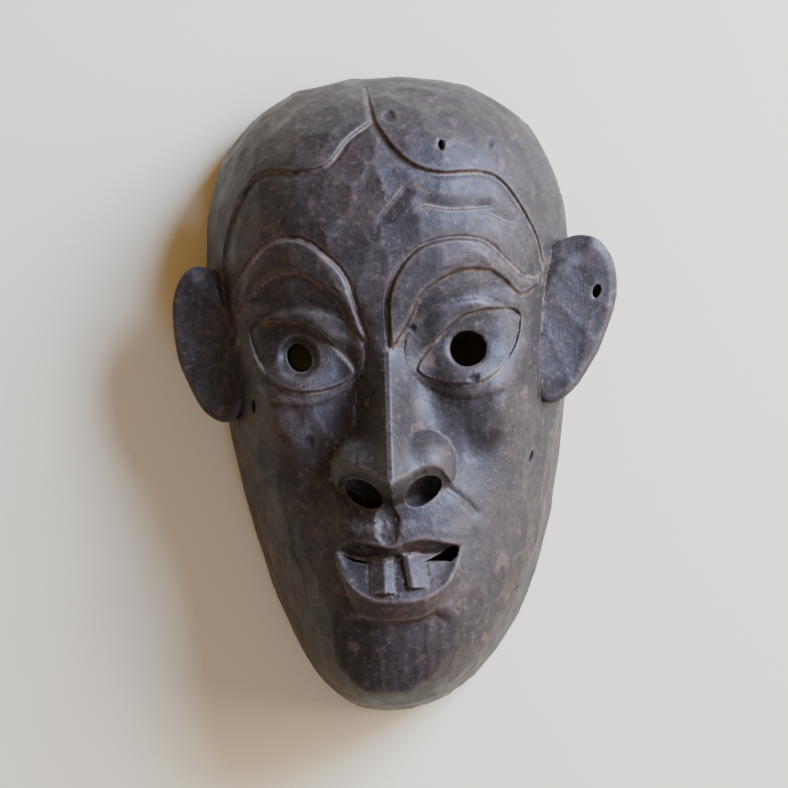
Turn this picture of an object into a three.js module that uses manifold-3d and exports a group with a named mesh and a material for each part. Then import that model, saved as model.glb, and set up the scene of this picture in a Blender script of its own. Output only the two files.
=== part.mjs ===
// Carved wooden wall mask: one hollow face shell with two ears, lying on its flat back rim.
// Millimetres. X to the viewer's right, Y to the crown, Z out of the face. The back rim lies at Z 0.
import * as THREE from 'three';
import Module from 'manifold-3d';

// Rim outline: a superellipse that is widest at the temples and runs long to the chin
const HALF_WIDTH = 71.6;
const WIDEST_Y = 50;
const CROWN_Y = 125;
const CHIN_Y = -125;
const CROWN_POWER = 2.5;
const CHEEK_POWER = 1.75;
const JAW_POWER_GAIN = 0.45;
const RIM_SHIFT = 0.7;
const CHIN_DRIFT = -7.2;
const DRIFT_POWER = 8;

// Front of the face, without the carving
const FACE_HEIGHT = 70;
const ACROSS_POWER = 2.4;
const CROWN_ROUND = 3;
const CHIN_ROUND = 20;
const RELIEF_FADE = 0.85;
const LEAN_START = 0.7;
const LEAST_UPRIGHT = 0.001;

// Front of the chin: upright facets between these X places, sloping in from the lip to the jaw
const CHIN_FRONT = {
  topY: -84, height: 69, slope: 0.2, curl: 0.004, roundRadius: 52,
  lipY: -82, lipHalf: 13, edgeRun: 2, blend: 0.8,
};
const CHIN_FACETS = [-45, -30, -20, -10.7, -3.9, 7.1, 16.3, 27, 45];

// Broad forms: centre, reach and rise; the paired ones are mirrored
const MUZZLE = { x: 0, y: -64, reachX: 25, reachY: 24, rise: 5 };
const PAIRED_FORMS = {
  socket: { x: 31, y: 20, reachX: 20, reachY: 15, rise: -9 },
  innerCorner: { x: 14, y: 14, reachX: 9, reachY: 15, rise: -5 },
  besideNose: { x: 18, y: -6, reachX: 10, reachY: 20, rise: -6 },
  cheekbone: { x: 44, y: -4, reachX: 10, reachY: 13, rise: 4 },
  cheekHollow: { x: 29, y: -22, reachX: 13, reachY: 17, rise: -4.5 },
  jawHollow: { x: 40, y: -55, reachX: 16, reachY: 22, rise: -2 },
};
const CHEEK_RIDGE = [[50, 6.7], [45, -3], [42, -10.5], [37, -15.5]];
const CHEEK_RIDGE_RISE = 1.6;
const CHEEK_RIDGE_WIDTH = 7.5;

// Hollow behind the face
const RIM_WIDTH = 9.5;
const HOLLOW_HEIGHT = 55;
const HOLLOW_CHIN_ROUND = 8;

// Eyes
const EYE_X = 32.6;
const EYE_Y = 16;
const EYE_OUTLINE = [
  [-19.5, -5], [-10, 6.4], [-1.5, 12.6], [8, 14.6], [19, 13.4], [18.4, 3],
  [12.8, -6.5], [6, -12], [-1, -13.4], [-11, -12.6], [-18.5, -9],
];
const EYEBALL = { rise: 4.5, halfWidth: 25, halfHeight: 19 };
const UPPER_LID = { width: 5.4, rise: 1.7, fadeOut: 4, fadeIn: 3 };
const LOWER_LID_RISE = 1.4;
const LID_CORNER = { from: -6, to: 4, tilt: 0.3 };
const EYE_REACH = 40;
const RIGHT_PUPIL = { x: 31.9, y: 16, halfWidth: 7.1, halfHeight: 7.1, turn: 0 };
const LEFT_PUPIL = { x: -33.3, y: 15.8, halfWidth: 4.8, halfHeight: 6, turn: 0.5 };
const LEFT_BEVEL = { ...LEFT_PUPIL, halfWidth: 8, halfHeight: 8.4, depth: 2.4, edge: [1.1, 0.7] };

// Carved lines, each through the few points that its bends need
const PARTING_TOP = [-3.2, 120];
const HAIR_PANEL_FOOT = [[62.4, 28], [-62.6, 28]];
const RIGHT_HAIRLINE = [
  [0.9, 104.6], [7.7, 94.1], [15.1, 87.4], [25, 84], [39, 84], [47.2, 81], [54.5, 71], [60.4, 58], [62.4, 46],
];
const LEFT_HAIRLINE = [
  [-1.4, 105.1], [-10.1, 98.9], [-18.1, 89.8], [-28.4, 87.4], [-44, 88.4], [-52.6, 80.9], [-59.2, 67],
  [-62.2, 55], [-62.6, 46],
];
const RIGHT_BROW = [
  [2.4, 17.5], [2.1, 28], [3.2, 38.7], [8.7, 49.3], [17.4, 56.3], [30, 58.5], [40.6, 56.6], [47.4, 49.9],
  [54.3, 43.2], [61, 41.4],
];
const LEFT_BROW = [
  [-6.8, 21], [-9.6, 32], [-13.2, 45.2], [-19.3, 53.1], [-27.7, 60], [-36.4, 61.9], [-45.1, 59.2],
  [-52.6, 51.5], [-57.5, 42],
];
const RIGHT_BROW_FOOT = [
  [10, 27], [15.1, 36.5], [21.9, 42.1], [31.1, 46.1], [41.5, 45.6], [46.9, 42], [53.5, 36],
];
const LEFT_BROW_FOOT = [
  [-12, 26], [-16, 36], [-22.5, 43], [-32, 48.6], [-42, 47.6], [-48.5, 43], [-54, 36.5],
];
const RIGHT_WRINKLE = [[19.8, 71.1], [27.2, 69.5], [34.5, 69.4], [41.5, 69.7]];
const TEMPLE_WRINKLE = [[42.2, 67.3], [50.1, 63.2]];
const LEFT_NOTCH = [[9.8, 77.5], [1.5, 68.3]];
const MOUTH_CREASE = [[21.9, -37.5], [27.6, -42.3], [31.5, -47.2]];
const HAIR_RISE = 1.6;
const HAIR_CUT = { depth: 0.6, offset: 1, width: 2 };
const HAIR_FADE_Y = [42, 50];
const GROOVE_WIDTH = 1.6;
const GROOVE_DEPTH = 1.2;
const BROW_RISE = 2;
const BROW_EDGE = [0.8, -1.4];
const WRINKLE_DEPTH = 1.2;
const WRINKLE_REACH = 6;
const NOTCH_EDGE = 1.2;
const CREASE_DEPTH = 1.4;
const CREASE_WIDTH = 2.2;
const SOFT_EDGE = 0.5;

// Nose: a roof with a flat ridge strip, two round wings and a hollowed underside
const NOSE = {
  x: 1, rootY: 17.3, rootHeight: 67, tipY: -34, tipHeight: 93, endY: -51,
  ridgeHalf: 1, flank: 11, reach: 30, bridgeShare: 0.55, leftShare: 0.8, blend: 2.2,
  rootSlope: 0.8, bridgeSlope: 1.8, tipSlope: 1.25, wallSlope: 3,
};
const WING = { x: 12.3, y: -28, halfWidth: 12, halfHeight: 13.5, base: 60, rise: 20, fall: 60, blend: 9 };
// Edges of the nose's underside: distance from the ridge, Y and height
const NOSE_ARRIS = [[0, -34, 93], [8, -30.2, 82], [12, -28.8, 80], [18, -28.8, 77.5], [23, -34, 70]];
const NOSE_FOOT = [[0, -45, 67], [8, -44, 66], [14, -42.5, 66], [18, -39.5, 64], [22, -36, 62]];
const UNDERSIDE_BLEND = 0.8;
const NOSTRIL = { x: 11.2, y: -37.5, halfWidth: 8, halfHeight: 4.8, turn: 0.58, depth: 10 };
const PHILTRUM = { x: -1.8, y: -50, halfWidth: 4.8, halfHeight: 7.8, turn: 0, depth: 2.2 };

// Mouth: lines from its left to its right corner
const LIP_TOP = [
  [-23.4, -58.4], [-16, -55.4], [-8.9, -56.5], [-0.1, -58.8], [4.3, -56.7], [11.5, -55.9], [21.2, -58.1],
  [26, -58.8],
];
const MOUTH_DEEP = [[-23.4, -58.9], [-12.1, -62.8], [-0.1, -63.6], [8.1, -62], [16.9, -61.7], [26, -59.2]];
const LIP_CREST = [
  [-23.4, -60.5], [-18, -71.7], [-8.4, -78.4], [3.1, -79.2], [12.6, -77.9], [21.2, -71.7], [26, -60.5],
];
const LIP_FOOT = [
  [-23.4, -63], [-17, -80], [-13.2, -84], [-6.5, -85.8], [7.8, -85.6], [15.2, -81.5], [22.6, -74], [26, -63],
];
const MOUTH_TOP_Y = -50;
const CORNER_LENGTH = 6;
const LIP_RISE = 4;
const MOUTH_DEPTH = [[-23, 4], [-10, 6.5], [0, 7.5]];
const LEFT_TOOTH = { x: -5, lean: 0, topY: -63, bottomY: -75.6, halfWidth: 4.8, arris: 1.1 };
const RIGHT_TOOTH = { x: 6.8, lean: 0.16, topY: -62, bottomY: -74.1, halfWidth: 4.2, arris: -1.8 };
const TOOTH_RISE = 3;
const TOOTH_FACET = 0.42;
const RIGHT_GAP = [[10.8, -64.8], [17.3, -62], [22.4, -59], [24.6, -60], [24, -63], [21.3, -65.6]];
const LEFT_GAP = [[-21, -60.3], [-16, -62.3], [-10.8, -63.7], [-11, -64.5], [-16.3, -63.4]];

// Ears: egg-shaped leaves with a bevel at the top, set into the sides of the face
const RIGHT_EAR = { side: 1, x: 71, y: 25.8, halfLength: 33.5, halfWidth: 15.6, egg: 0.25, tilt: 16 };
const LEFT_EAR = { side: -1, x: -69, y: 23.2, halfLength: 31, halfWidth: 13.7, egg: 0.06, tilt: 9.4 };
const EAR_HEIGHT = 37;
const EAR_LEAN = 0.22;
const EAR_THICKNESS = 11;
const EAR_EDGE = 6;
const EAR_ROOT = { depth: 9, across: [0.3, -1] };
const EAR_DISH = { depth: 0.8, reach: [0.95, 0.45], along: [-1, 0.2] };
const EAR_BEVEL = { depth: 4, reach: [0.62, 1], turn: [0.55, 0.95] };
const EAR_RIM = { depth: 0.8, reach: [0.9, 1] };
const EAR_HOLE = { x: 82.7, y: 36, halfWidth: 1.7, halfHeight: 2.8, turn: -0.3, floor: 28.5 };

// Drilled holes and worm slits in the hair and cheeks
const SMALL_HOLES = [
  { x: 25.8, y: 94.6, halfWidth: 1.5, halfHeight: 2.6, turn: 0, lean: 15 },
  { x: -52.5, y: -2, halfWidth: 1.4, halfHeight: 2.9, turn: 0, lean: -28 },
  { x: 53.6, y: -27, halfWidth: 1.1, halfHeight: 2.6, turn: -0.4, lean: 28 },
];
const SMALL_HOLE_DEPTH = 7;
const STOPPED_HOLE = { x: 6.2, y: 107, radius: 2.3, depth: 1.2, soft: 0.2 };
const HOLE_FOOT = 1;
const HOLE_TOP = 120;

// Facet sizes
const FACE_FACETS = { sectors: 24, rings: 6, tolerance: 0.56, shortest: 2.2, rounds: 8, mirrored: false };
const EAR_FACETS = { sectors: 20, rings: 3, tolerance: 0.35, shortest: 2.5, rounds: 2 };
const EDGE_ON_LINES = 4.6;
const LINE_REACH = 8;
const EDGE_TURNS = 4;
const TURN_GAIN = 0.75;
const TURN_MARGIN = 0.02;
const LEAST_TURN = 0.1;
const ON_EDGE = 0.9999;
const TINY = 1e-9;
const HOLE_SIDES = 16;
const STEPS_PER_BEND = 8;

function ramp(from, to, value) {
  const share = THREE.MathUtils.clamp((value - from) / (to - from), 0, 1);
  return share * share * (3 - 2 * share);
}

// Straight lines between knots, level beyond the first and the last
function interpolate(knots, values, place) {
  const last = knots.length - 1;
  if (place <= knots[0]) return values[0];
  if (place >= knots[last]) return values[last];
  const next = knots.findIndex((knot) => knot > place);
  return THREE.MathUtils.mapLinear(place, knots[next - 1], knots[next], values[next - 1], values[next]);
}

function tableAt(rows, place) {
  const [knots, ...columns] = rows[0].map((_, k) => rows.map((row) => row[k]));
  return columns.map((values) => interpolate(knots, values, place));
}

function hill(form, x, y) {
  return form.rise * Math.exp(-(((x - form.x) / form.reachX) ** 2) - ((y - form.y) / form.reachY) ** 2);
}

function blendedMax(first, second, width) {
  const share = THREE.MathUtils.clamp(0.5 + 0.5 * (first - second) / width, 0, 1);
  return second + (first - second) * share + width * share * (1 - share);
}

function smoothLine(points, closed = false) {
  const corners = points.map(([x, y]) => new THREE.Vector3(x, y, 0));
  const curve = new THREE.CatmullRomCurve3(corners, closed, 'catmullrom', 0.5);
  return carvedLine(curve.getPoints(points.length * STEPS_PER_BEND), closed);
}

function carvedLine(points, closed) {
  const box = new THREE.Box3().setFromPoints(points).expandByScalar(LINE_REACH);
  return { points, closed, box };
}

// Distance from a carved line; negative inside a closed one, and endless beyond the line's reach
function lineDistance(line, x, y) {
  const { min, max } = line.box;
  if (x < min.x || x > max.x || y < min.y || y > max.y) return Infinity;
  let nearest = Infinity;
  let inside = false;
  for (let i = 1; i < line.points.length; i += 1) {
    const start = line.points[i - 1];
    const end = line.points[i];
    const runX = end.x - start.x;
    const runY = end.y - start.y;
    const length = runX * runX + runY * runY;
    const along = THREE.MathUtils.clamp(((x - start.x) * runX + (y - start.y) * runY) / length, 0, 1);
    const offX = x - start.x - along * runX;
    const offY = y - start.y - along * runY;
    nearest = Math.min(nearest, offX * offX + offY * offY);
    if (start.y > y !== end.y > y && x < start.x + (y - start.y) * runX / runY) inside = !inside;
  }
  return line.closed && inside ? -Math.sqrt(nearest) : Math.sqrt(nearest);
}

// Offset from a turned oval's centre: 1 on its edge
function ovalReach(oval, x, y, side = 1) {
  const across = side * x - oval.x;
  const up = y - oval.y;
  const along = across * Math.cos(oval.turn) + up * Math.sin(oval.turn);
  const beside = up * Math.cos(oval.turn) - across * Math.sin(oval.turn);
  return Math.hypot(along / oval.halfWidth, beside / oval.halfHeight);
}

// Share of the way from the widest line to the crown or to the chin
function endShare(y) {
  const run = y > WIDEST_Y ? CROWN_Y - WIDEST_Y : WIDEST_Y - CHIN_Y;
  return Math.min(Math.abs(y - WIDEST_Y) / run, 1);
}

function rimHalfWidth(y) {
  const share = endShare(y);
  const power = y > WIDEST_Y ? CROWN_POWER : CHEEK_POWER + JAW_POWER_GAIN * share;
  return HALF_WIDTH * (1 - share ** power) ** (1 / power);
}

function rimCentre(y) {
  return RIM_SHIFT + (y < WIDEST_Y ? CHIN_DRIFT * endShare(y) ** DRIFT_POWER : 0);
}

// Height of the uncarved front over the rim, from the share across and the height on the face
function frontHeight(across, y, chinRound) {
  const share = endShare(y);
  const lengthPower = y > WIDEST_Y ? CROWN_ROUND : chinRound;
  const acrossFall = 1 - Math.min(Math.abs(across), 1) ** ACROSS_POWER;
  const lengthFall = 1 - share ** lengthPower;
  return Math.sqrt(Math.max(acrossFall * lengthFall, 0));
}

const eyeLine = smoothLine(EYE_OUTLINE, true);
const browLines = [smoothLine(RIGHT_BROW), smoothLine(LEFT_BROW)];
const browPads = [
  smoothLine([...RIGHT_BROW, ...RIGHT_BROW_FOOT.slice().reverse()], true),
  smoothLine([...LEFT_BROW, ...LEFT_BROW_FOOT.slice().reverse()], true),
];
const hairline = carvedLine([
  new THREE.Vector3(...PARTING_TOP, 0),
  ...smoothLine(RIGHT_HAIRLINE).points,
  ...HAIR_PANEL_FOOT.map(([x, y]) => new THREE.Vector3(x, y, 0)),
  ...smoothLine(LEFT_HAIRLINE).points.reverse(),
  new THREE.Vector3(...PARTING_TOP, 0),
], true);
const wrinkles = [RIGHT_WRINKLE, TEMPLE_WRINKLE].map((points) => smoothLine(points));
const leftNotch = smoothLine(LEFT_NOTCH);
const mouthCrease = smoothLine(MOUTH_CREASE);
const cheekRidge = smoothLine(CHEEK_RIDGE);
const mouthLines = [LIP_TOP, MOUTH_DEEP, LIP_CREST, LIP_FOOT].map((points) => smoothLine(points));
const lipFootLine = mouthLines[3];
const faceLines = [hairline, ...browLines, ...browPads, ...mouthLines];

function lineY(line, x) {
  return interpolate(line.points.map((point) => point.x), line.points.map((point) => point.y), x);
}

// The front of the chin is cut in flat upright facets that slope in towards the jaw
function cutChin(x, y, height) {
  const lipFoot = Math.min(lineY(lipFootLine, x), CHIN_FRONT.lipY);
  if (y > lipFoot) return height;
  const down = CHIN_FRONT.topY - y;
  const drop = CHIN_FRONT.slope * down + CHIN_FRONT.curl * down * down;
  const falls = CHIN_FACETS.map((knot) => knot * knot / (2 * CHIN_FRONT.roundRadius));
  const bend = interpolate(CHIN_FACETS, falls, x);
  const cut = -blendedMax(-height, drop + bend - CHIN_FRONT.height, CHIN_FRONT.blend);
  const run = CHIN_FRONT.edgeRun + Math.max(Math.abs(x) - CHIN_FRONT.lipHalf, 0);
  return THREE.MathUtils.lerp(height, cut, ramp(lipFoot, lipFoot - run, y));
}

// Muzzle, sockets, cheekbones and the hollows beside the nose and the mouth
function broadForms(x, y) {
  let rise = hill(MUZZLE, x, y);
  for (const form of Object.values(PAIRED_FORMS)) rise += hill(form, x, y) + hill(form, -x, y);
  const ridge = 1 - lineDistance(cheekRidge, Math.abs(x), y) / CHEEK_RIDGE_WIDTH;
  return rise + CHEEK_RIDGE_RISE * Math.max(ridge, 0);
}

function browRelief(x, y) {
  let rise = 0;
  for (const pad of browPads) rise += BROW_RISE * ramp(...BROW_EDGE, lineDistance(pad, x, y));
  for (const line of browLines) {
    rise -= GROOVE_DEPTH * Math.max(1 - lineDistance(line, x, y) / GROOVE_WIDTH, 0);
  }
  return rise;
}

function eyeRelief(x, y) {
  let rise = 0;
  for (const side of [1, -1]) {
    const across = side * x - EYE_X;
    const up = y - EYE_Y;
    if (Math.hypot(across, up) > EYE_REACH) continue;
    const edge = lineDistance(eyeLine, across, up);
    const bulge = 1 - (across / EYEBALL.halfWidth) ** 2 - (up / EYEBALL.halfHeight) ** 2;
    const ball = EYEBALL.rise * Math.sqrt(Math.max(bulge, 0));
    const isUpper = ramp(LID_CORNER.from, LID_CORNER.to, up + LID_CORNER.tilt * across);
    const fold = ramp(UPPER_LID.width + UPPER_LID.fadeOut, UPPER_LID.width - UPPER_LID.fadeIn, edge);
    const upper = UPPER_LID.rise * fold * ramp(-SOFT_EDGE, SOFT_EDGE, edge);
    const lower = LOWER_LID_RISE * ramp(SOFT_EDGE, -SOFT_EDGE, edge);
    rise += ball + upper * isUpper + lower * (1 - isUpper);
  }
  return rise - LEFT_BEVEL.depth * ramp(...LEFT_BEVEL.edge, ovalReach(LEFT_BEVEL, x, y));
}

function hairRelief(x, y) {
  const edge = lineDistance(hairline, x, y);
  const cut = HAIR_CUT.depth * Math.max(1 - Math.abs(edge + HAIR_CUT.offset) / HAIR_CUT.width, 0);
  return ramp(...HAIR_FADE_Y, y) * (HAIR_RISE * ramp(-SOFT_EDGE, SOFT_EDGE, edge) - cut);
}

// Each wrinkle is a scoop above its line, with a sharp lower edge; the notch is a scoop below its line
function wrinkleRelief(x, y) {
  let rise = 0;
  for (const line of wrinkles) {
    const distance = lineDistance(line, x, y);
    if (distance > WRINKLE_REACH) continue;
    const above = ramp(-SOFT_EDGE, SOFT_EDGE, y - lineY(line, x));
    rise -= WRINKLE_DEPTH * above * (1 - distance / WRINKLE_REACH);
  }
  const [[endX, endY], [startX, startY]] = LEFT_NOTCH;
  const turn = (x - startX) * (endY - startY) - (y - startY) * (endX - startX);
  const below = turn / Math.hypot(endX - startX, endY - startY);
  const notch = Math.max(1 - lineDistance(leftNotch, x, y) / WRINKLE_REACH, 0);
  const crease = Math.max(1 - lineDistance(mouthCrease, x, y) / CREASE_WIDTH, 0);
  return rise - WRINKLE_DEPTH * notch * ramp(-NOTCH_EDGE, NOTCH_EDGE, below) - CREASE_DEPTH * crease;
}

function noseRoof(x, across, along) {
  const ridge = THREE.MathUtils.lerp(NOSE.rootHeight, NOSE.tipHeight, along);
  const bridge = THREE.MathUtils.lerp(NOSE.rootSlope, NOSE.bridgeSlope, ramp(0, NOSE.bridgeShare, along));
  const slope = THREE.MathUtils.lerp(bridge, NOSE.tipSlope, ramp(NOSE.bridgeShare, 1, along));
  const sideSlope = x < NOSE.x ? slope * NOSE.leftShare : slope;
  const offRidge = Math.max(across - NOSE.ridgeHalf, 0);
  const wall = NOSE.wallSlope * Math.max(offRidge - NOSE.flank, 0);
  return ridge - sideSlope * Math.min(offRidge, NOSE.flank) - wall;
}

function wingHeight(across, y) {
  const reach = Math.hypot((across - WING.x) / WING.halfWidth, (y - WING.y) / WING.halfHeight);
  if (reach > 1) return WING.base - WING.fall * (reach - 1);
  return WING.base + WING.rise * Math.sqrt(1 - reach * reach);
}

function noseHeight(x, y) {
  const across = Math.abs(x - NOSE.x);
  const along = (NOSE.rootY - y) / (NOSE.rootY - NOSE.tipY);
  if (along < 0 || y < NOSE.endY || across > NOSE.reach) return -Infinity;
  const upper = blendedMax(noseRoof(x, across, along), wingHeight(across, y), WING.blend);
  const [arrisY, arrisHeight] = tableAt(NOSE_ARRIS, across);
  const [footY, footHeight] = tableAt(NOSE_FOOT, across);
  const underside = THREE.MathUtils.mapLinear(y, footY, arrisY, footHeight, arrisHeight);
  return -blendedMax(-upper, -underside, UNDERSIDE_BLEND);
}

function nostrilDepth(x, y) {
  let depth = 0;
  for (const side of [1, -1]) {
    const reach = ovalReach(NOSTRIL, x - NOSE.x, y, side);
    depth += NOSTRIL.depth * Math.sqrt(Math.max(1 - reach * reach, 0));
  }
  return depth;
}

function philtrumDepth(x, y) {
  return PHILTRUM.depth * Math.sqrt(Math.max(1 - ovalReach(PHILTRUM, x, y) ** 2, 0));
}

function toothRise(tooth, x, y) {
  const across = x - tooth.x + tooth.lean * (y - tooth.topY);
  const width = ramp(tooth.halfWidth + SOFT_EDGE, tooth.halfWidth - SOFT_EDGE, Math.abs(across));
  const length = ramp(tooth.bottomY - SOFT_EDGE, tooth.bottomY, y) * ramp(tooth.topY + 1, tooth.topY, y);
  return width * length * (TOOTH_RISE - TOOTH_FACET * Math.abs(across - tooth.arris));
}

// From the foot of the lower lip out to its crest, in to the deepest line, and out to the upper lip's crest
function mouthRelief(x, y) {
  const [left] = LIP_TOP[0];
  const [right] = LIP_TOP[LIP_TOP.length - 1];
  const openShare = ramp(left, left + CORNER_LENGTH, x) * ramp(right, right - CORNER_LENGTH, x);
  const [top, deep, crest, foot] = mouthLines.map((line) => lineY(line, x));
  const [depth] = tableAt(MOUTH_DEPTH, x);
  const toCrest = THREE.MathUtils.clamp((y - foot) / (crest - foot), 0, 1);
  const toDeep = THREE.MathUtils.clamp((y - crest) / (deep - crest), 0, 1);
  const toTop = THREE.MathUtils.clamp((y - deep) / (top - deep), 0, 1);
  const profile = LIP_RISE * toCrest - (LIP_RISE + depth) * toDeep + depth * toTop;
  const teeth = Math.max(toothRise(LEFT_TOOTH, x, y), toothRise(RIGHT_TOOTH, x, y));
  return openShare * (profile + teeth);
}

function stoppedHoleDepth(x, y) {
  const reach = Math.hypot(x - STOPPED_HOLE.x, y - STOPPED_HOLE.y);
  const { radius, depth, soft } = STOPPED_HOLE;
  return depth * ramp(radius + soft, radius - soft, reach);
}

// Carving height over the uncarved front
function relief(x, y, base) {
  let face = base + broadForms(x, y) + browRelief(x, y) + eyeRelief(x, y) + hairRelief(x, y);
  face += wrinkleRelief(x, y);
  const nose = noseHeight(x, y);
  if (nose > -Infinity) face = blendedMax(face, nose, NOSE.blend);
  face -= nostrilDepth(x, y) + philtrumDepth(x, y) + stoppedHoleDepth(x, y);
  if (y < MOUTH_TOP_Y) face += mouthRelief(x, y);
  return cutChin(x, y, face) - base;
}

// A point of the unit disc laid onto the outline
function discToOutline(point, inset) {
  const reach = Math.min(point.length(), 1);
  const spread = reach > 0 ? Math.sin(reach * Math.PI / 2) / reach : Math.PI / 2;
  const acrossShare = point.x * spread;
  const upShare = THREE.MathUtils.clamp(point.y * spread, -1, 1);
  const run = upShare > 0 ? CROWN_Y - WIDEST_Y : WIDEST_Y - CHIN_Y;
  const y = WIDEST_Y + (run - inset) * upShare;
  const narrow = Math.sqrt(Math.max(1 - upShare * upShare, TINY));
  const across = THREE.MathUtils.clamp(acrossShare / narrow, -1, 1);
  const outerY = WIDEST_Y + run * upShare;
  const halfWidth = rimHalfWidth(outerY) * (HALF_WIDTH - inset) / HALF_WIDTH;
  return { x: rimCentre(outerY) + halfWidth * across, y, across, outerY, reach };
}

function frontPoint(point) {
  const place = discToOutline(point, 0);
  const base = FACE_HEIGHT * frontHeight(place.across, place.y, CHIN_ROUND);
  const onRim = point.length() > ON_EDGE;
  const fade = ramp(1, RELIEF_FADE, place.reach);
  const rise = onRim ? 0 : fade * relief(place.x, place.y, base);
  const lean = ramp(LEAN_START, 1, place.reach);
  const outward = new THREE.Vector3(lean * point.x, lean * point.y, 1 - lean + LEAST_UPRIGHT).normalize();
  return new THREE.Vector3(place.x, place.y, onRim ? 0 : base).addScaledVector(outward, rise);
}

// Longest facet edge wanted at a place on the front: short where a line is carved
function frontEdgeLimit(point) {
  const { x, y } = discToOutline(point, 0);
  const eyeEdge = lineDistance(eyeLine, Math.abs(x) - EYE_X, y - EYE_Y);
  const nearest = Math.min(...faceLines.map((line) => Math.abs(lineDistance(line, x, y))), Math.abs(eyeEdge));
  return nearest < 0.5 * EDGE_ON_LINES ? EDGE_ON_LINES : Infinity;
}

function hollowPoint(point) {
  const place = discToOutline(point, RIM_WIDTH);
  const onRim = point.length() > ON_EDGE;
  const height = HOLLOW_HEIGHT * frontHeight(place.across, place.outerY, HOLLOW_CHIN_ROUND);
  return new THREE.Vector3(place.x, place.y, onRim ? 0 : height);
}

function earPoint(ear, isFront) {
  const tilt = THREE.MathUtils.degToRad(ear.tilt);
  return (point) => {
    const along = ear.halfLength * point.y;
    const across = ear.halfWidth * point.x * (1 + ear.egg * point.y);
    const outward = across * Math.cos(tilt) + along * Math.sin(tilt);
    const up = along * Math.cos(tilt) - across * Math.sin(tilt);
    const reach = Math.min(point.length(), 1);
    const edge = EAR_HEIGHT - EAR_LEAN * outward;
    const dish = EAR_DISH.depth * ramp(...EAR_DISH.reach, reach) * ramp(...EAR_DISH.along, point.y);
    const topInner = (point.y - point.x) / Math.max(Math.SQRT2 * reach, TINY);
    const bevel = EAR_BEVEL.depth * ramp(...EAR_BEVEL.turn, topInner) * ramp(...EAR_BEVEL.reach, reach);
    const rim = EAR_RIM.depth * ramp(...EAR_RIM.reach, reach);
    const thickness = EAR_EDGE + (EAR_THICKNESS - EAR_EDGE) * Math.sqrt(1 - reach * reach);
    const back = thickness + EAR_ROOT.depth * ramp(...EAR_ROOT.across, point.x);
    const height = isFront ? edge - dish - bevel - rim : edge - back;
    return new THREE.Vector3(ear.x + ear.side * outward, ear.y + up, height);
  };
}

function edgeKey(a, b) {
  return `${Math.min(a, b)} ${Math.max(a, b)}`;
}

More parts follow.
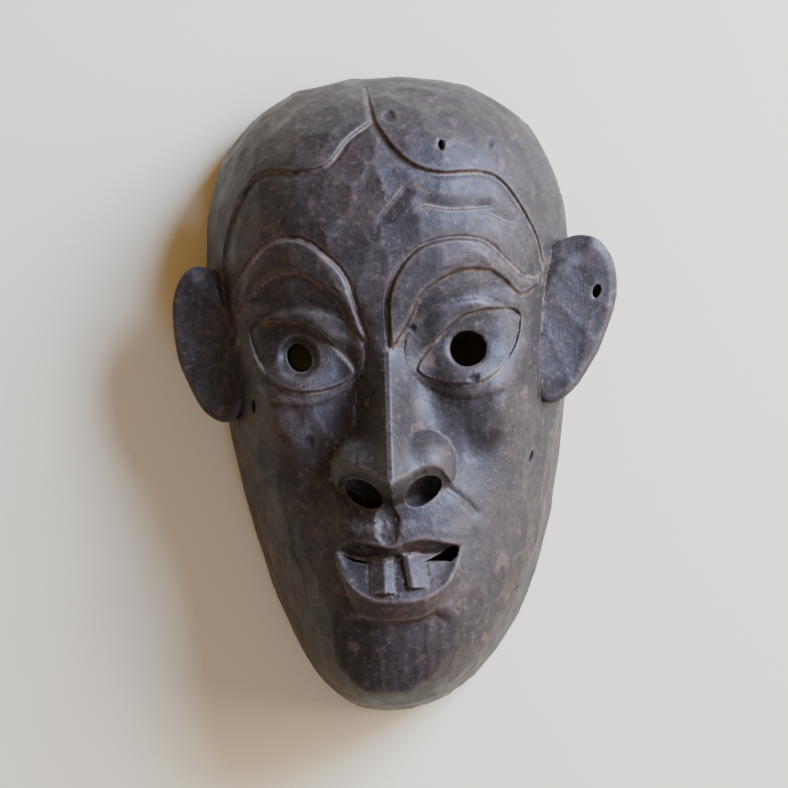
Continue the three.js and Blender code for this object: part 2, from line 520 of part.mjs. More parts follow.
// A closed shell of two discs, front and back, joined by a strip along their edges
class Shell {
  constructor(front, back, edgeLimit, mirrored = false) {
    this.places = [front, back];
    this.edgeLimit = edgeLimit;
    this.mirrored = mirrored;
    this.vertices = [];
    this.triangles = [];
  }

  addVertex(side, point) {
    this.vertices.push({ side, point, position: this.places[side](point) });
    return this.vertices.length - 1;
  }

  addDisc(side, sectors, rings) {
    const centre = this.addVertex(side, new THREE.Vector2(0, 0));
    let inner = null;
    for (let ring = 1; ring <= rings; ring += 1) {
      const loop = [];
      for (let k = 0; k < sectors; k += 1) {
        const turn = 2 * Math.PI * k / sectors;
        const place = new THREE.Vector2(Math.cos(turn), Math.sin(turn)).multiplyScalar(ring / rings);
        loop.push(this.addVertex(side, place));
      }
      for (let k = 0; k < sectors; k += 1) {
        const next = (k + 1) % sectors;
        if (inner) this.addQuad(side, inner[k], loop[k], loop[next], inner[next]);
        else this.addTriangle(side, centre, loop[k], loop[next]);
      }
      inner = loop;
    }
    return inner;
  }

  addTriangle(side, a, b, c) {
    this.triangles.push(side === 0 ? [a, b, c] : [a, c, b]);
  }

  addQuad(side, a, b, c, d) {
    this.addTriangle(side, a, b, c);
    this.addTriangle(side, a, c, d);
  }

  joinLoops(frontLoop, backLoop) {
    frontLoop.forEach((corner, k) => {
      const next = (k + 1) % frontLoop.length;
      this.addQuad(1, corner, frontLoop[next], backLoop[next], backLoop[k]);
    });
  }

  // Midpoint of an edge on its own surface; an edge across the strip has none
  midpoint(a, b) {
    const first = this.vertices[a];
    const second = this.vertices[b];
    if (first.side !== second.side) return null;
    const point = first.point.clone().add(second.point).multiplyScalar(0.5);
    if (first.point.length() > ON_EDGE && second.point.length() > ON_EDGE) point.normalize();
    return { side: first.side, point };
  }

  edgeLength(a, b) {
    return this.vertices[a].position.distanceTo(this.vertices[b].position);
  }

  needsSplit(a, b, tolerance, shortest) {
    const length = this.edgeLength(a, b);
    if (length < 2 * shortest) return false;
    const middle = this.midpoint(a, b);
    if (!middle) return false;
    if (middle.side === 0 && length > this.edgeLimit(middle.point)) return true;
    return this.chordError(a, b, middle) > tolerance;
  }

  // Greatest distance between an edge and the surface that it stands for
  chordError(a, b, middle) {
    const chord = new THREE.Line3(this.vertices[a].position, this.vertices[b].position);
    const nearest = new THREE.Vector3();
    let error = 0;
    for (const share of [0.25, 0.5, 0.75]) {
      const point = this.vertices[a].point.clone().lerp(this.vertices[b].point, share);
      if (share === 0.5) point.copy(middle.point);
      const position = this.places[middle.side](point);
      chord.closestPointToPoint(position, true, nearest);
      error = Math.max(error, nearest.distanceTo(position));
    }
    return error;
  }

  // Turns each edge whose other diagonal lies closer to the surface, so that edges run along the carving
  turnEdges() {
    const owners = new Map();
    this.triangles.forEach((triangle, index) => {
      triangle.forEach((from, k) => {
        const to = triangle[(k + 1) % 3];
        const tip = triangle[(k + 2) % 3];
        const id = edgeKey(from, to);
        owners.set(id, [...(owners.get(id) ?? []), { index, from, to, tip }]);
      });
    });
    const changed = new Set();
    for (const [first, second] of owners.values()) {
      if (changed.has(first.index) || changed.has(second.index)) continue;
      const { from, to, tip } = first;
      const far = second.tip;
      const sides = new Set([from, to, tip, far].map((corner) => this.vertices[corner].side));
      if (sides.size > 1 || owners.has(edgeKey(tip, far)) || !this.isConvex(from, far, to, tip)) continue;
      const kept = this.chordError(from, to, this.midpoint(from, to));
      const turned = this.chordError(tip, far, this.midpoint(tip, far));
      if (turned > TURN_GAIN * kept - TURN_MARGIN) continue;
      this.triangles[first.index] = [tip, far, to];
      this.triangles[second.index] = [far, tip, from];
      owners.set(edgeKey(tip, far), [first, second]);
      changed.add(first.index);
      changed.add(second.index);
    }
  }

  isConvex(...corners) {
    const points = corners.map((corner) => this.vertices[corner].point);
    const turns = points.map((point, k) => {
      const next = points[(k + 1) % 4].clone().sub(point);
      const after = points[(k + 2) % 4].clone().sub(points[(k + 1) % 4]);
      return next.cross(after) / (next.length() * after.length());
    });
    return turns.every((turn) => turn > LEAST_TURN) || turns.every((turn) => turn < -LEAST_TURN);
  }

  // One round of splitting; a split edge always brings its triangle's longest edge along
  refine(tolerance, shortest) {
    const checked = new Map();
    for (const [a, b, c] of this.triangles) {
      for (const [from, to] of [[a, b], [b, c], [c, a]]) {
        const id = edgeKey(from, to);
        if (!checked.has(id)) checked.set(id, this.needsSplit(from, to, tolerance, shortest));
      }
    }
    let spreading = true;
    while (spreading) {
      spreading = false;
      for (const [a, b, c] of this.triangles) {
        const edges = [[a, b], [b, c], [c, a]];
        if (!edges.some(([from, to]) => checked.get(edgeKey(from, to)))) continue;
        const open = edges.filter(([from, to]) => this.midpoint(from, to));
        const lengths = open.map((edge) => this.edgeLength(...edge));
        const longest = open[lengths.indexOf(Math.max(...lengths))];
        if (checked.get(edgeKey(...longest))) continue;
        checked.set(edgeKey(...longest), true);
        spreading = true;
      }
    }
    const middles = new Map();
    const middleOf = (a, b) => {
      const id = edgeKey(a, b);
      if (!checked.get(id)) return -1;
      if (!middles.has(id)) {
        const middle = this.midpoint(a, b);
        middles.set(id, this.addVertex(middle.side, middle.point));
      }
      return middles.get(id);
    };
    const before = this.triangles.length;
    this.triangles = this.triangles.flatMap((triangle) => this.splitTriangle(triangle, middleOf));
    return this.triangles.length - before;
  }

  splitTriangle(triangle, middleOf) {
    for (let turn = 0; turn < 3; turn += 1) {
      const [a, b, c] = [0, 1, 2].map((k) => triangle[(k + turn) % 3]);
      const [ab, bc, ca] = [middleOf(a, b), middleOf(b, c), middleOf(c, a)];
      if (ab >= 0 && bc >= 0 && ca >= 0) return [[a, ab, ca], [ab, b, bc], [ca, bc, c], [ab, bc, ca]];
      if (ab >= 0 && bc >= 0) {
        const cut = this.edgeLength(a, bc) < this.edgeLength(ab, c);
        const rest = cut ? [[a, ab, bc], [a, bc, c]] : [[ab, bc, c], [a, ab, c]];
        return [[ab, b, bc], ...rest];
      }
      if (ab >= 0 && ca < 0) return [[a, ab, c], [ab, b, c]];
    }
    return [triangle];
  }

  mesh() {
    const order = this.mirrored ? [0, 2, 1] : [0, 1, 2];
    return {
      positions: this.vertices.flatMap((vertex) => vertex.position.toArray()),
      corners: this.triangles.flatMap((triangle) => order.map((k) => triangle[k])),
    };
  }
}

function buildShell(front, back, edgeLimit, { sectors, rings, tolerance, shortest, rounds, mirrored }) {
  const shell = new Shell(front, back, edgeLimit, mirrored);
  shell.joinLoops(shell.addDisc(0, sectors, rings), shell.addDisc(1, sectors, rings));
  for (let round = 0; round < rounds; round += 1) {
    if (shell.refine(tolerance, shortest) === 0) break;
  }
  for (let round = 0; round < EDGE_TURNS; round += 1) shell.turnEdges();
  return shell.mesh();
}

// A straight prism along Z through a closed plan outline
function prism(outline, low, high) {
  const count = outline.length;
  const positions = [low, high].flatMap((z) => outline.flatMap(([x, y]) => [x, y, z]));
  const corners = [];
  for (let k = 1; k < count - 1; k += 1) {
    corners.push(0, k + 1, k, count, count + k, count + k + 1);
  }
  for (let k = 0; k < count; k += 1) {
    const next = (k + 1) % count;
    corners.push(k, next, count + next, k, count + next, count + k);
  }
  return { positions, corners };
}

function ovalOutline(oval) {
  return Array.from({ length: HOLE_SIDES }, (_, k) => {
    const turn = 2 * Math.PI * k / HOLE_SIDES;
    const along = oval.halfWidth * Math.cos(turn);
    const beside = oval.halfHeight * Math.sin(turn);
    return [
      oval.x + along * Math.cos(oval.turn) - beside * Math.sin(oval.turn),
      oval.y + along * Math.sin(oval.turn) + beside * Math.cos(oval.turn),
    ];
  });
}

// A blind hole whose axis leans from Z to the side
function blindHole(hole) {
  const across = (hole.x - rimCentre(hole.y)) / rimHalfWidth(hole.y);
  const base = FACE_HEIGHT * frontHeight(across, hole.y, CHIN_ROUND);
  const mouthOfHole = new THREE.Vector3(hole.x, hole.y, base + relief(hole.x, hole.y, base));
  const shape = prism(ovalOutline({ ...hole, x: 0, y: 0 }), -SMALL_HOLE_DEPTH, SMALL_HOLE_DEPTH);
  const upright = new THREE.Vector3(0, 1, 0);
  const positions = [];
  for (let k = 0; k < shape.positions.length; k += 3) {
    const corner = new THREE.Vector3().fromArray(shape.positions, k);
    corner.applyAxisAngle(upright, THREE.MathUtils.degToRad(hole.lean)).add(mouthOfHole);
    positions.push(...corner.toArray());
  }
  return { positions, corners: shape.corners };
}

function anticlockwise(outline) {
  const area = outline.reduce((sum, [x, y], k) => {
    const [nextX, nextY] = outline[(k + 1) % outline.length];
    return sum + x * nextY - nextX * y;
  }, 0);
  return area > 0 ? outline : outline.slice().reverse();
}

const wasm = await Module();
wasm.setup();

function toSolid({ positions, corners }) {
  return new wasm.Manifold(new wasm.Mesh({
    numProp: 3,
    vertProperties: new Float32Array(positions),
    triVerts: new Uint32Array(corners),
  }));
}

function buildMask() {
  let mask = toSolid(buildShell(frontPoint, hollowPoint, frontEdgeLimit, FACE_FACETS));
  for (const ear of [RIGHT_EAR, LEFT_EAR]) {
    const facets = { ...EAR_FACETS, mirrored: ear.side < 0 };
    mask = mask.add(toSolid(buildShell(earPoint(ear, true), earPoint(ear, false), () => Infinity, facets)));
  }
  for (const hole of SMALL_HOLES) mask = mask.subtract(toSolid(blindHole(hole)));
  mask = mask.subtract(toSolid(prism(ovalOutline(EAR_HOLE), EAR_HOLE.floor, HOLE_TOP)));
  for (const outline of [ovalOutline(RIGHT_PUPIL), ovalOutline(LEFT_PUPIL), RIGHT_GAP, LEFT_GAP]) {
    mask = mask.subtract(toSolid(prism(anticlockwise(outline), HOLE_FOOT, HOLE_TOP)));
  }
  return mask.getMesh();
}

// The finished mask is centred on its own box, with the rim plane at Z 0
function toGeometry(mesh) {
  const geometry = new THREE.BufferGeometry();
  geometry.setAttribute('position', new THREE.BufferAttribute(new Float32Array(mesh.vertProperties), 3));
  geometry.setIndex(new THREE.BufferAttribute(new Uint32Array(mesh.triVerts), 1));
  geometry.computeBoundingBox();
  const centre = geometry.boundingBox.getCenter(new THREE.Vector3());
  geometry.translate(-centre.x, -centre.y, 0);
  geometry.computeVertexNormals();
  return geometry;
}

const wood = new THREE.MeshStandardMaterial({ color: 0x4a403a, roughness: 0.5, metalness: 0 });
const mask = new THREE.Mesh(toGeometry(buildMask()), wood);
mask.name = 'carved_mask';

const part = new THREE.Group();
part.name = 'carved_wall_mask';
part.add(mask);
export default part;
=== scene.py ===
import math

import bpy
import numpy as np
from mathutils import Matrix, Vector


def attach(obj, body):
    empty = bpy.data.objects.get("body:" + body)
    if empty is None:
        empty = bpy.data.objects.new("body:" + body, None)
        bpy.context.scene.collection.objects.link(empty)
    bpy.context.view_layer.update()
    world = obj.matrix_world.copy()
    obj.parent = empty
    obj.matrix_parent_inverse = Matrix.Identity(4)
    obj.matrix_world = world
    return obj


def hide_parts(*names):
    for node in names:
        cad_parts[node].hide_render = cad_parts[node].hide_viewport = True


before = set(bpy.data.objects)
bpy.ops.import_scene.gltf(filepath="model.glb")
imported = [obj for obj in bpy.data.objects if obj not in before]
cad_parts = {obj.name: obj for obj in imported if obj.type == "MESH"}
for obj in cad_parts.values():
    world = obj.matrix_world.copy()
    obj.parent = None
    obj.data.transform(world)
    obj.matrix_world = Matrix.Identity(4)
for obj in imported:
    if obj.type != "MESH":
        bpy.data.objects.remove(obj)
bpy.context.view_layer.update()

MM = 0.001
FAR = 1000.0
TINY = 1e-9
ON_EDGE = 0.9999

# Rim outline: a superellipse that is widest at the temples and runs long to the chin
HALF_WIDTH = 71.6
WIDEST_Y = 50.0
CROWN_Y = 125.0
CHIN_Y = -125.0
CROWN_POWER = 2.5
CHEEK_POWER = 1.75
JAW_POWER_GAIN = 0.45
RIM_SHIFT = 0.7
CHIN_DRIFT = -7.2
DRIFT_POWER = 8.0

# Front of the face, without the carving
FACE_HEIGHT = 70.0
ACROSS_POWER = 2.4
CROWN_ROUND = 3.0
CHIN_ROUND = 20.0
RELIEF_FADE = 0.85
LEAN_START = 0.7
LEAST_UPRIGHT = 0.001

# Front of the chin: upright facets between these X places, sloping in from the lip to the jaw
CHIN_FRONT = dict(
    top_y=-84.0, height=69.0, slope=0.2, curl=0.004, round_radius=52.0,
    lip_y=-82.0, lip_half=13.0, edge_run=2.0, foot_y=-117.0, blend=0.8, arris=0.8,
)
CHIN_FACETS = [-45, -30, -20, -10.7, -3.9, 7.1, 16.3, 27, 45]

# Broad forms: centre, reach and rise; the paired ones are mirrored
MUZZLE = dict(x=0, y=-64, reach_x=25, reach_y=24, rise=5)
PAIRED_FORMS = dict(
    socket=dict(x=31, y=20, reach_x=20, reach_y=15, rise=-9),
    inner_corner=dict(x=14, y=14, reach_x=9, reach_y=15, rise=-5),
    beside_nose=dict(x=18, y=-6, reach_x=10, reach_y=20, rise=-6),
    cheekbone=dict(x=44, y=-4, reach_x=10, reach_y=13, rise=4),
    cheek_hollow=dict(x=29, y=-22, reach_x=13, reach_y=17, rise=-4.5),
    jaw_hollow=dict(x=40, y=-55, reach_x=16, reach_y=22, rise=-2),
)
CHEEK_RIDGE = [(50, 6.7), (45, -3), (42, -10.5), (37, -15.5)]
CHEEK_RIDGE_RISE = 1.6
CHEEK_RIDGE_WIDTH = 7.5

# Hollow behind the face
RIM_WIDTH = 9.5
HOLLOW_HEIGHT = 55.0
HOLLOW_CHIN_ROUND = 8.0

# Eyes
EYE_X = 32.6
EYE_Y = 16.0
EYE_OUTLINE = [
    (-19.5, -5), (-10, 6.4), (-1.5, 12.6), (8, 14.6), (19, 13.4), (18.4, 3),
    (12.8, -6.5), (6, -12), (-1, -13.4), (-11, -12.6), (-18.5, -9),
]
EYEBALL = dict(rise=4.5, half_width=25.0, half_height=19.0)
UPPER_LID = dict(width=5.4, rise=1.7, fade_out=4.0, fade_in=3.0)
LOWER_LID_RISE = 1.4
LID_GROOVE = dict(width=0.8, depth=0.6)
LID_CORNER = dict(low=-6.0, high=4.0, tilt=0.3)
RIGHT_PUPIL = dict(x=31.9, y=16.0, half_width=7.1, half_height=7.1, turn=0.0)
LEFT_PUPIL = dict(x=-33.3, y=15.8, half_width=4.8, half_height=6.0, turn=0.5)
LEFT_BEVEL = dict(LEFT_PUPIL, half_width=8.0, half_height=8.4, depth=2.4, outer=1.1, inner=0.7)
RIGHT_BEVEL = dict(RIGHT_PUPIL, depth=0.8, outer=1.16, inner=0.98)

# Carved lines, each through the few points that its bends need
PARTING_TOP = (-3.2, 120.0)
HAIR_PANEL_FOOT = [(62.4, 28), (-62.6, 28)]
RIGHT_HAIRLINE = [
    (0.9, 104.6), (7.7, 94.1), (15.1, 87.4), (25, 84), (39, 84), (47.2, 81), (54.5, 71), (60.4, 58),
    (62.4, 46),
]
LEFT_HAIRLINE = [
    (-1.4, 105.1), (-10.1, 98.9), (-18.1, 89.8), (-28.4, 87.4), (-44, 88.4), (-52.6, 80.9), (-59.2, 67),
    (-62.2, 55), (-62.6, 46),
]
RIGHT_BROW = [
    (2.4, 17.5), (2.1, 28), (3.2, 38.7), (8.7, 49.3), (17.4, 56.3), (30, 58.5), (40.6, 56.6), (47.4, 49.9),
    (54.3, 43.2), (61, 41.4),
]
LEFT_BROW = [
    (-6.8, 21), (-9.6, 32), (-13.2, 45.2), (-19.3, 53.1), (-27.7, 60), (-36.4, 61.9), (-45.1, 59.2),
    (-52.6, 51.5), (-57.5, 42),
]
RIGHT_BROW_FOOT = [(10, 27), (15.1, 36.5), (21.9, 42.1), (31.1, 46.1), (41.5, 45.6), (46.9, 42), (53.5, 36)]
LEFT_BROW_FOOT = [(-12, 26), (-16, 36), (-22.5, 43), (-32, 48.6), (-42, 47.6), (-48.5, 43), (-54, 36.5)]
RIGHT_WRINKLE = [(19.8, 71.1), (27.2, 69.5), (34.5, 69.4), (41.5, 69.7)]
TEMPLE_WRINKLE = [(42.2, 67.3), (50.1, 63.2)]
LEFT_NOTCH = [(9.8, 77.5), (1.5, 68.3)]
MOUTH_CREASE = [(21.9, -37.5), (27.6, -42.3), (31.5, -47.2)]
HAIR_RISE = 1.6
HAIR_EDGE = (-0.4, 0.8)
HAIR_CUT = dict(depth=0.6, offset=1.0, width=2.0)
HAIR_FADE_Y = (42.0, 50.0)
GROOVE_WIDTH = 1.5
GROOVE_DEPTH = 1.2
BROW_RISE = 2.0
BROW_EDGE = (0.8, -1.4)
WRINKLE_DEPTH = 1.2
WRINKLE_REACH = 6.0
WRINKLE_EDGE = 0.6
CREASE_DEPTH = 1.4
CREASE_WIDTH = 2.2
NOTCH_EDGE = 1.2
SOFT_EDGE = 0.5
LINE_REACH = 8.0

# Nose: a roof with a flat ridge strip, two round wings and a hollowed underside
NOSE = dict(
    x=1.0, root_y=17.3, root_height=67.0, tip_y=-34.0, tip_height=93.0, end_y=-51.0,
    ridge_half=1.0, flank=11.0, reach=30.0, bridge_share=0.55, left_share=0.8, blend=2.2,
    root_slope=0.8, bridge_slope=1.8, tip_slope=1.25, wall_slope=3.0,
)
WING = dict(x=12.3, y=-28.0, half_width=12.0, half_height=13.5, base=60.0, rise=20.0, fall=60.0, blend=9.0)
# Edges of the nose's underside: distance from the ridge, Y and height
NOSE_ARRIS = [(0, -34, 93), (8, -30.2, 82), (12, -28.8, 80), (18, -28.8, 77.5), (23, -34, 70)]
NOSE_FOOT = [(0, -45, 67), (8, -44, 66), (14, -42.5, 66), (18, -39.5, 64), (22, -36, 62)]
UNDERSIDE_BLEND = 0.8
NOSTRIL = dict(x=11.2, y=-37.5, half_width=8.0, half_height=4.8, turn=0.58, depth=10.0)
PHILTRUM = dict(x=-1.8, y=-50.0, half_width=4.8, half_height=7.8, turn=0.0, depth=2.2)

# Mouth: lines from its left to its right corner
LIP_TOP = [
    (-23.4, -58.4), (-16, -55.4), (-8.9, -56.5), (-0.1, -58.8), (4.3, -56.7), (11.5, -55.9), (21.2, -58.1),
    (26, -58.8),
]
MOUTH_DEEP = [(-23.4, -58.9), (-12.1, -62.8), (-0.1, -63.6), (8.1, -62), (16.9, -61.7), (26, -59.2)]
LIP_CREST = [
    (-23.4, -60.5), (-18, -71.7), (-8.4, -78.4), (3.1, -79.2), (12.6, -77.9), (21.2, -71.7), (26, -60.5),
]
LIP_FOOT = [
    (-23.4, -63), (-17, -80), (-13.2, -84), (-6.5, -85.8), (7.8, -85.6), (15.2, -81.5), (22.6, -74),
    (26, -63),
]
MOUTH_TOP_Y = -50.0
MOUTH_CORNERS = (-23.4, 26.0)
CORNER_LENGTH = 6.0
LIP_RISE = 4.0
MOUTH_DEPTH = [(-23, 4), (-10, 6.5), (0, 7.5)]
LEFT_TOOTH = dict(x=-5.0, lean=0.0, top_y=-63.0, bottom_y=-75.6, half_width=4.8, arris=1.1)
RIGHT_TOOTH = dict(x=6.8, lean=0.16, top_y=-62.0, bottom_y=-74.1, half_width=4.2, arris=-1.8)
TOOTH_RISE = 3.0
TOOTH_FACET = 0.42
TOOTH_EDGE = (0.4, 0.5)
TOOTH_FOOT = 0.8
TOOTH_ROOT = 1.0
RIGHT_GAP = [(10.8, -64.8), (17.3, -62), (22.4, -59), (24.6, -60), (24, -63), (21.3, -65.6)]
LEFT_GAP = [(-21, -60.3), (-16, -62.3), (-10.8, -63.7), (-11, -64.5), (-16.3, -63.4)]

# Ears: egg-shaped leaves with a bevel at the top, set into the sides of the face
RIGHT_EAR = dict(side=1, x=71.0, y=25.8, half_length=33.5, half_width=15.6, egg=0.25, tilt=16.0)
LEFT_EAR = dict(side=-1, x=-69.0, y=23.2, half_length=31.0, half_width=13.7, egg=0.06, tilt=9.4)
EAR_HEIGHT = 37.0
EAR_LEAN = 0.22
EAR_THICKNESS = 11.0
EAR_EDGE = 6.0
EAR_ROOT = dict(depth=9.0, across=(0.3, -1.0))
EAR_DISH = dict(depth=0.8, reach=(0.95, 0.45), along=(-1.0, 0.2))
EAR_BEVEL = dict(depth=4.0, reach=(0.62, 1.0), turn=(0.55, 0.95))
EAR_RIM = dict(depth=0.8, reach=(0.9, 1.0))
EAR_HOLE = dict(x=82.7, y=36.0, half_width=1.7, half_height=2.8, turn=-0.3)
EAR_HOLE_FLOOR = 28.5

# Drilled holes and worm slits in the hair and cheeks
SMALL_HOLES = [
    dict(x=25.8, y=94.6, half_width=1.5, half_height=2.6, turn=0.0, lean=15),
    dict(x=-52.5, y=-2.0, half_width=1.4, half_height=2.9, turn=0.0, lean=-28),
    dict(x=53.6, y=-27.0, half_width=1.1, half_height=2.6, turn=-0.4, lean=28),
]
SMALL_HOLE_DEPTH = 7.0
# Shallow chips and pits
PITS = [
    dict(x=11.3, y=24.7, half_width=1.5, half_height=1.3, turn=0.0, depth=0.8),
    dict(x=33.7, y=4.3, half_width=2.4, half_height=1.6, turn=0.2, depth=1.1),
    dict(x=-31.0, y=-16.4, half_width=1.7, half_height=2.6, turn=0.2, depth=0.7),
    dict(x=44.6, y=94.9, half_width=0.9, half_height=2.1, turn=-0.2, depth=1.2),
]
TOOL_FOOT = 1.0
TOOL_TOP = 120.0
STOPPED_HOLE = dict(x=6.2, y=107.0, radius=2.3, depth=1.2, soft=0.2)

# Mesh sizes
EDGE_ON_LINES = 1.15
EDGE_ON_FACE = 2.05
EDGE_ON_WALL = 3.0
EDGE_IN_HOLLOW = 6.0
EDGE_ON_EAR = 1.7
LINE_BAND = 2.5
WALL_REACH = 0.86
MAP_X = 90.0
MAP_Y = 130.0
REFINE_ROUNDS = 9
HOLE_SIDES = 40

# Chisel facets
FACET_SIZE = 11.0
FACET_DEPTH = 1.4
FACET_TILT = 0.06
FACET_BLEND = 0.12
FACET_STRETCH = (1.0, 0.62, 1.0)
PATCH_SIZE = 38.0
PATCH_DETAIL = 1.0
PATCH_RANGE = (0.35, 0.65)
LEAST_FACET = 0.45
MID_GREY = (0.5, 0.5, 0.5)
RIM_CLEARANCE = (0.5, 4.0)
LINE_CLEARANCE = (1.0, 5.0)
FACETS_ON_LINES = 0.15

# Age: bend of the surface, per metre, that is fully dusty or rubbed
DUST_BEND = 90.0
WEAR_BEND = 90.0
DUST_START = 0.25
DUST_OFF_LINES = 0.25
DUST_LINE_EDGE = (2.2, 0.4)
# Reach of the painted shade in the holes and pits, as shares of their outlines
HOLE_SHADE_EDGE = (1.25, 0.85)

# Patina: coats over the bare colour, sizes in millimetres. Each lies where its pattern runs from low to high
WOOD_COLOUR = "#241E1A"
PATINA = [
    dict(name="grey", colour="#3A332E", size=26.0, detail=5.0, low=0.35, high=0.68, share=1.0),
    dict(name="red_brown", colour="#3F2E25", size=45.0, detail=3.0, low=0.48, high=0.66, share=0.5),
    dict(name="grain", colour="#17120F", size=1.4, detail=3.0, low=0.45, high=0.7, share=0.3, stretched=True),
    dict(name="flecks", colour="#17120F", size=2.6, detail=4.0, low=0.5, high=0.34, share=0.55),
    dict(name="pale_flecks", colour="#6A5D52", size=2.6, detail=4.0, low=0.56, high=0.72, share=0.35),
    dict(name="stains", colour="#3E2D22", size=12.0, detail=6.0, low=0.56, high=0.66, share=0.45),
    dict(name="rubbed", colour="#6A5D52", size=6.0, detail=4.0, low=0.2, high=0.7, share=0.5, where="wear"),
    dict(name="bare", colour="#6B5240", size=9.0, detail=5.0, low=0.6, high=0.68, share=0.45),
    dict(name="specks", colour="#877158", size=1.3, detail=2.0, low=0.66, high=0.74, share=0.35),
    dict(name="dust", colour="#877158", size=4.0, detail=4.0, low=0.3, high=0.65, share=0.5, where="dust"),
    # painted shade: near-black colour inside the small holes and pits
    dict(name="hole_shade", colour="#0F0B09", size=4.0, detail=0.0, low=0.0, high=0.01, share=0.8, where="hole_shade"),
]
GRAIN_STRETCH = (1.0, 0.08, 1.0)
COAT_ROUGHNESS = 0.6
SHEEN_SIZE = 9.0
SHEEN_DETAIL = 5.0
SHEEN_RANGE = (0.3, 0.7)
SHEEN_LEVEL = 0.4
ROUGHNESS = (0.42, 0.66)
PORE_SIZE = 0.7
PORE_DETAIL = 3.0
BUMP_SHARES = dict(grain=0.5, flecks=1.2, pores=0.5)
BUMP_HEIGHT = 0.22
BUMP_STRENGTH = 0.7

# View: the camera looks down from slightly to the right, and the mask leans a little in the picture
CAMERA_DISTANCE = 1600.0
CAMERA_YAW = 2.5
CAMERA_ROLL = 3.0
PICTURE_WIDTH = 315.2
SENSOR_WIDTH = 36.0

# Studio: a pale floor under the mask, three soft lights and a dim warm surround, in metres and watts
FLOOR_HALF = 2.0
FLOOR_COLOUR = "#FFF0C4"
FLOOR_ROUGHNESS = 0.9
LIGHTS = [
    dict(name="cool_key", place=(1.12, 0.78, 0.8), size=0.9, power=110.0, colour="#B4CBFF"),
    dict(name="side_light", place=(1.35, 0.1, 0.6), size=1.0, power=22.0, colour="#FFF4EA"),
    dict(name="chin_light", place=(0.25, -0.75, 1.3), size=0.5, power=6.0, colour="#A6C2FF"),
]
SURROUND_COLOUR = "#F2CB9E"
SURROUND_STRENGTH = 0.38


def ramp(start, end, value):
    share = np.clip((value - start) / (end - start), 0, 1)
    return share * share * (3 - 2 * share)


def hill(form, x, y):
    across = (x - form["x"]) / form["reach_x"]
    up = (y - form["y"]) / form["reach_y"]
    return form["rise"] * np.exp(-across ** 2 - up ** 2)


def blended_max(first, second, width):
    share = np.clip(0.5 + 0.5 * (first - second) / width, 0, 1)
    return second + (first - second) * share + width * share * (1 - share)


def smooth_line(points, closed=False, steps=8):
    corners = np.array(points, float)
    count = len(corners)
    if closed:
        padded = np.concatenate([corners[-1:], corners, corners[:2]])
    else:
        padded = np.concatenate([2 * corners[:1] - corners[1:2], corners, 2 * corners[-1:] - corners[-2:-1]])
    found = []
    for k in range(count if closed else count - 1):
        a, b, c, d = padded[k:k + 4]
        for t in np.arange(steps) / steps:
            bend = 2 * b + (c - a) * t
            bend = bend + (2 * a - 5 * b + 4 * c - d) * t ** 2 + (3 * b - a - 3 * c + d) * t ** 3
            found.append(0.5 * bend)
    found.append(corners[0] if closed else corners[-1])
    return np.array(found), closed


def line_distance(line, x, y):
    """Distance from a carved line; negative inside a closed one, and FAR beyond the line's reach."""
    points, closed = line
    low = points.min(0) - LINE_REACH
    high = points.max(0) + LINE_REACH
    near = (x > low[0]) & (x < high[0]) & (y > low[1]) & (y < high[1])
    near_x = x[near]
    near_y = y[near]
    nearest = np.full(near_x.shape, FAR ** 2)
    inside = np.zeros(near_x.shape, bool)
    for start, end in zip(points[:-1], points[1:]):
        run = end - start
        along = np.clip(((near_x - start[0]) * run[0] + (near_y - start[1]) * run[1]) / (run @ run), 0, 1)
        off_x = near_x - start[0] - along * run[0]
        off_y = near_y - start[1] - along * run[1]
        nearest = np.minimum(nearest, off_x ** 2 + off_y ** 2)
        if closed and run[1] != 0:
            crosses = (start[1] > near_y) != (end[1] > near_y)
            inside ^= crosses & (near_x < start[0] + (near_y - start[1]) * run[0] / run[1])
    distance = np.full(x.shape, FAR)
    distance[near] = np.where(inside & closed, -np.sqrt(nearest), np.sqrt(nearest))
    return distance


def oval_reach(oval, x, y, side=1):
    """Offset from a turned oval's centre: 1 on its edge."""
    across = side * x - oval["x"]
    up = y - oval["y"]
    along = across * math.cos(oval["turn"]) + up * math.sin(oval["turn"])
    beside = up * math.cos(oval["turn"]) - across * math.sin(oval["turn"])
    return np.hypot(along / oval["half_width"], beside / oval["half_height"])


def end_share(y):
    run = np.where(y > WIDEST_Y, CROWN_Y - WIDEST_Y, WIDEST_Y - CHIN_Y)
    return np.minimum(np.abs(y - WIDEST_Y) / run, 1)


def rim_half_width(y):
    share = end_share(y)
    power = np.where(y > WIDEST_Y, CROWN_POWER, CHEEK_POWER + JAW_POWER_GAIN * share)
    return HALF_WIDTH * (1 - share ** power) ** (1 / power)


def rim_centre(y):
    return RIM_SHIFT + np.where(y < WIDEST_Y, CHIN_DRIFT * end_share(y) ** DRIFT_POWER, 0)


def front_height(across, y, chin_round):
    """Height of the uncarved front over the rim, as a share of its greatest height."""
    length_power = np.where(y > WIDEST_Y, CROWN_ROUND, chin_round)
    across_fall = 1 - np.minimum(np.abs(across), 1) ** ACROSS_POWER
    length_fall = 1 - end_share(y) ** length_power
    return np.sqrt(np.maximum(across_fall * length_fall, 0))


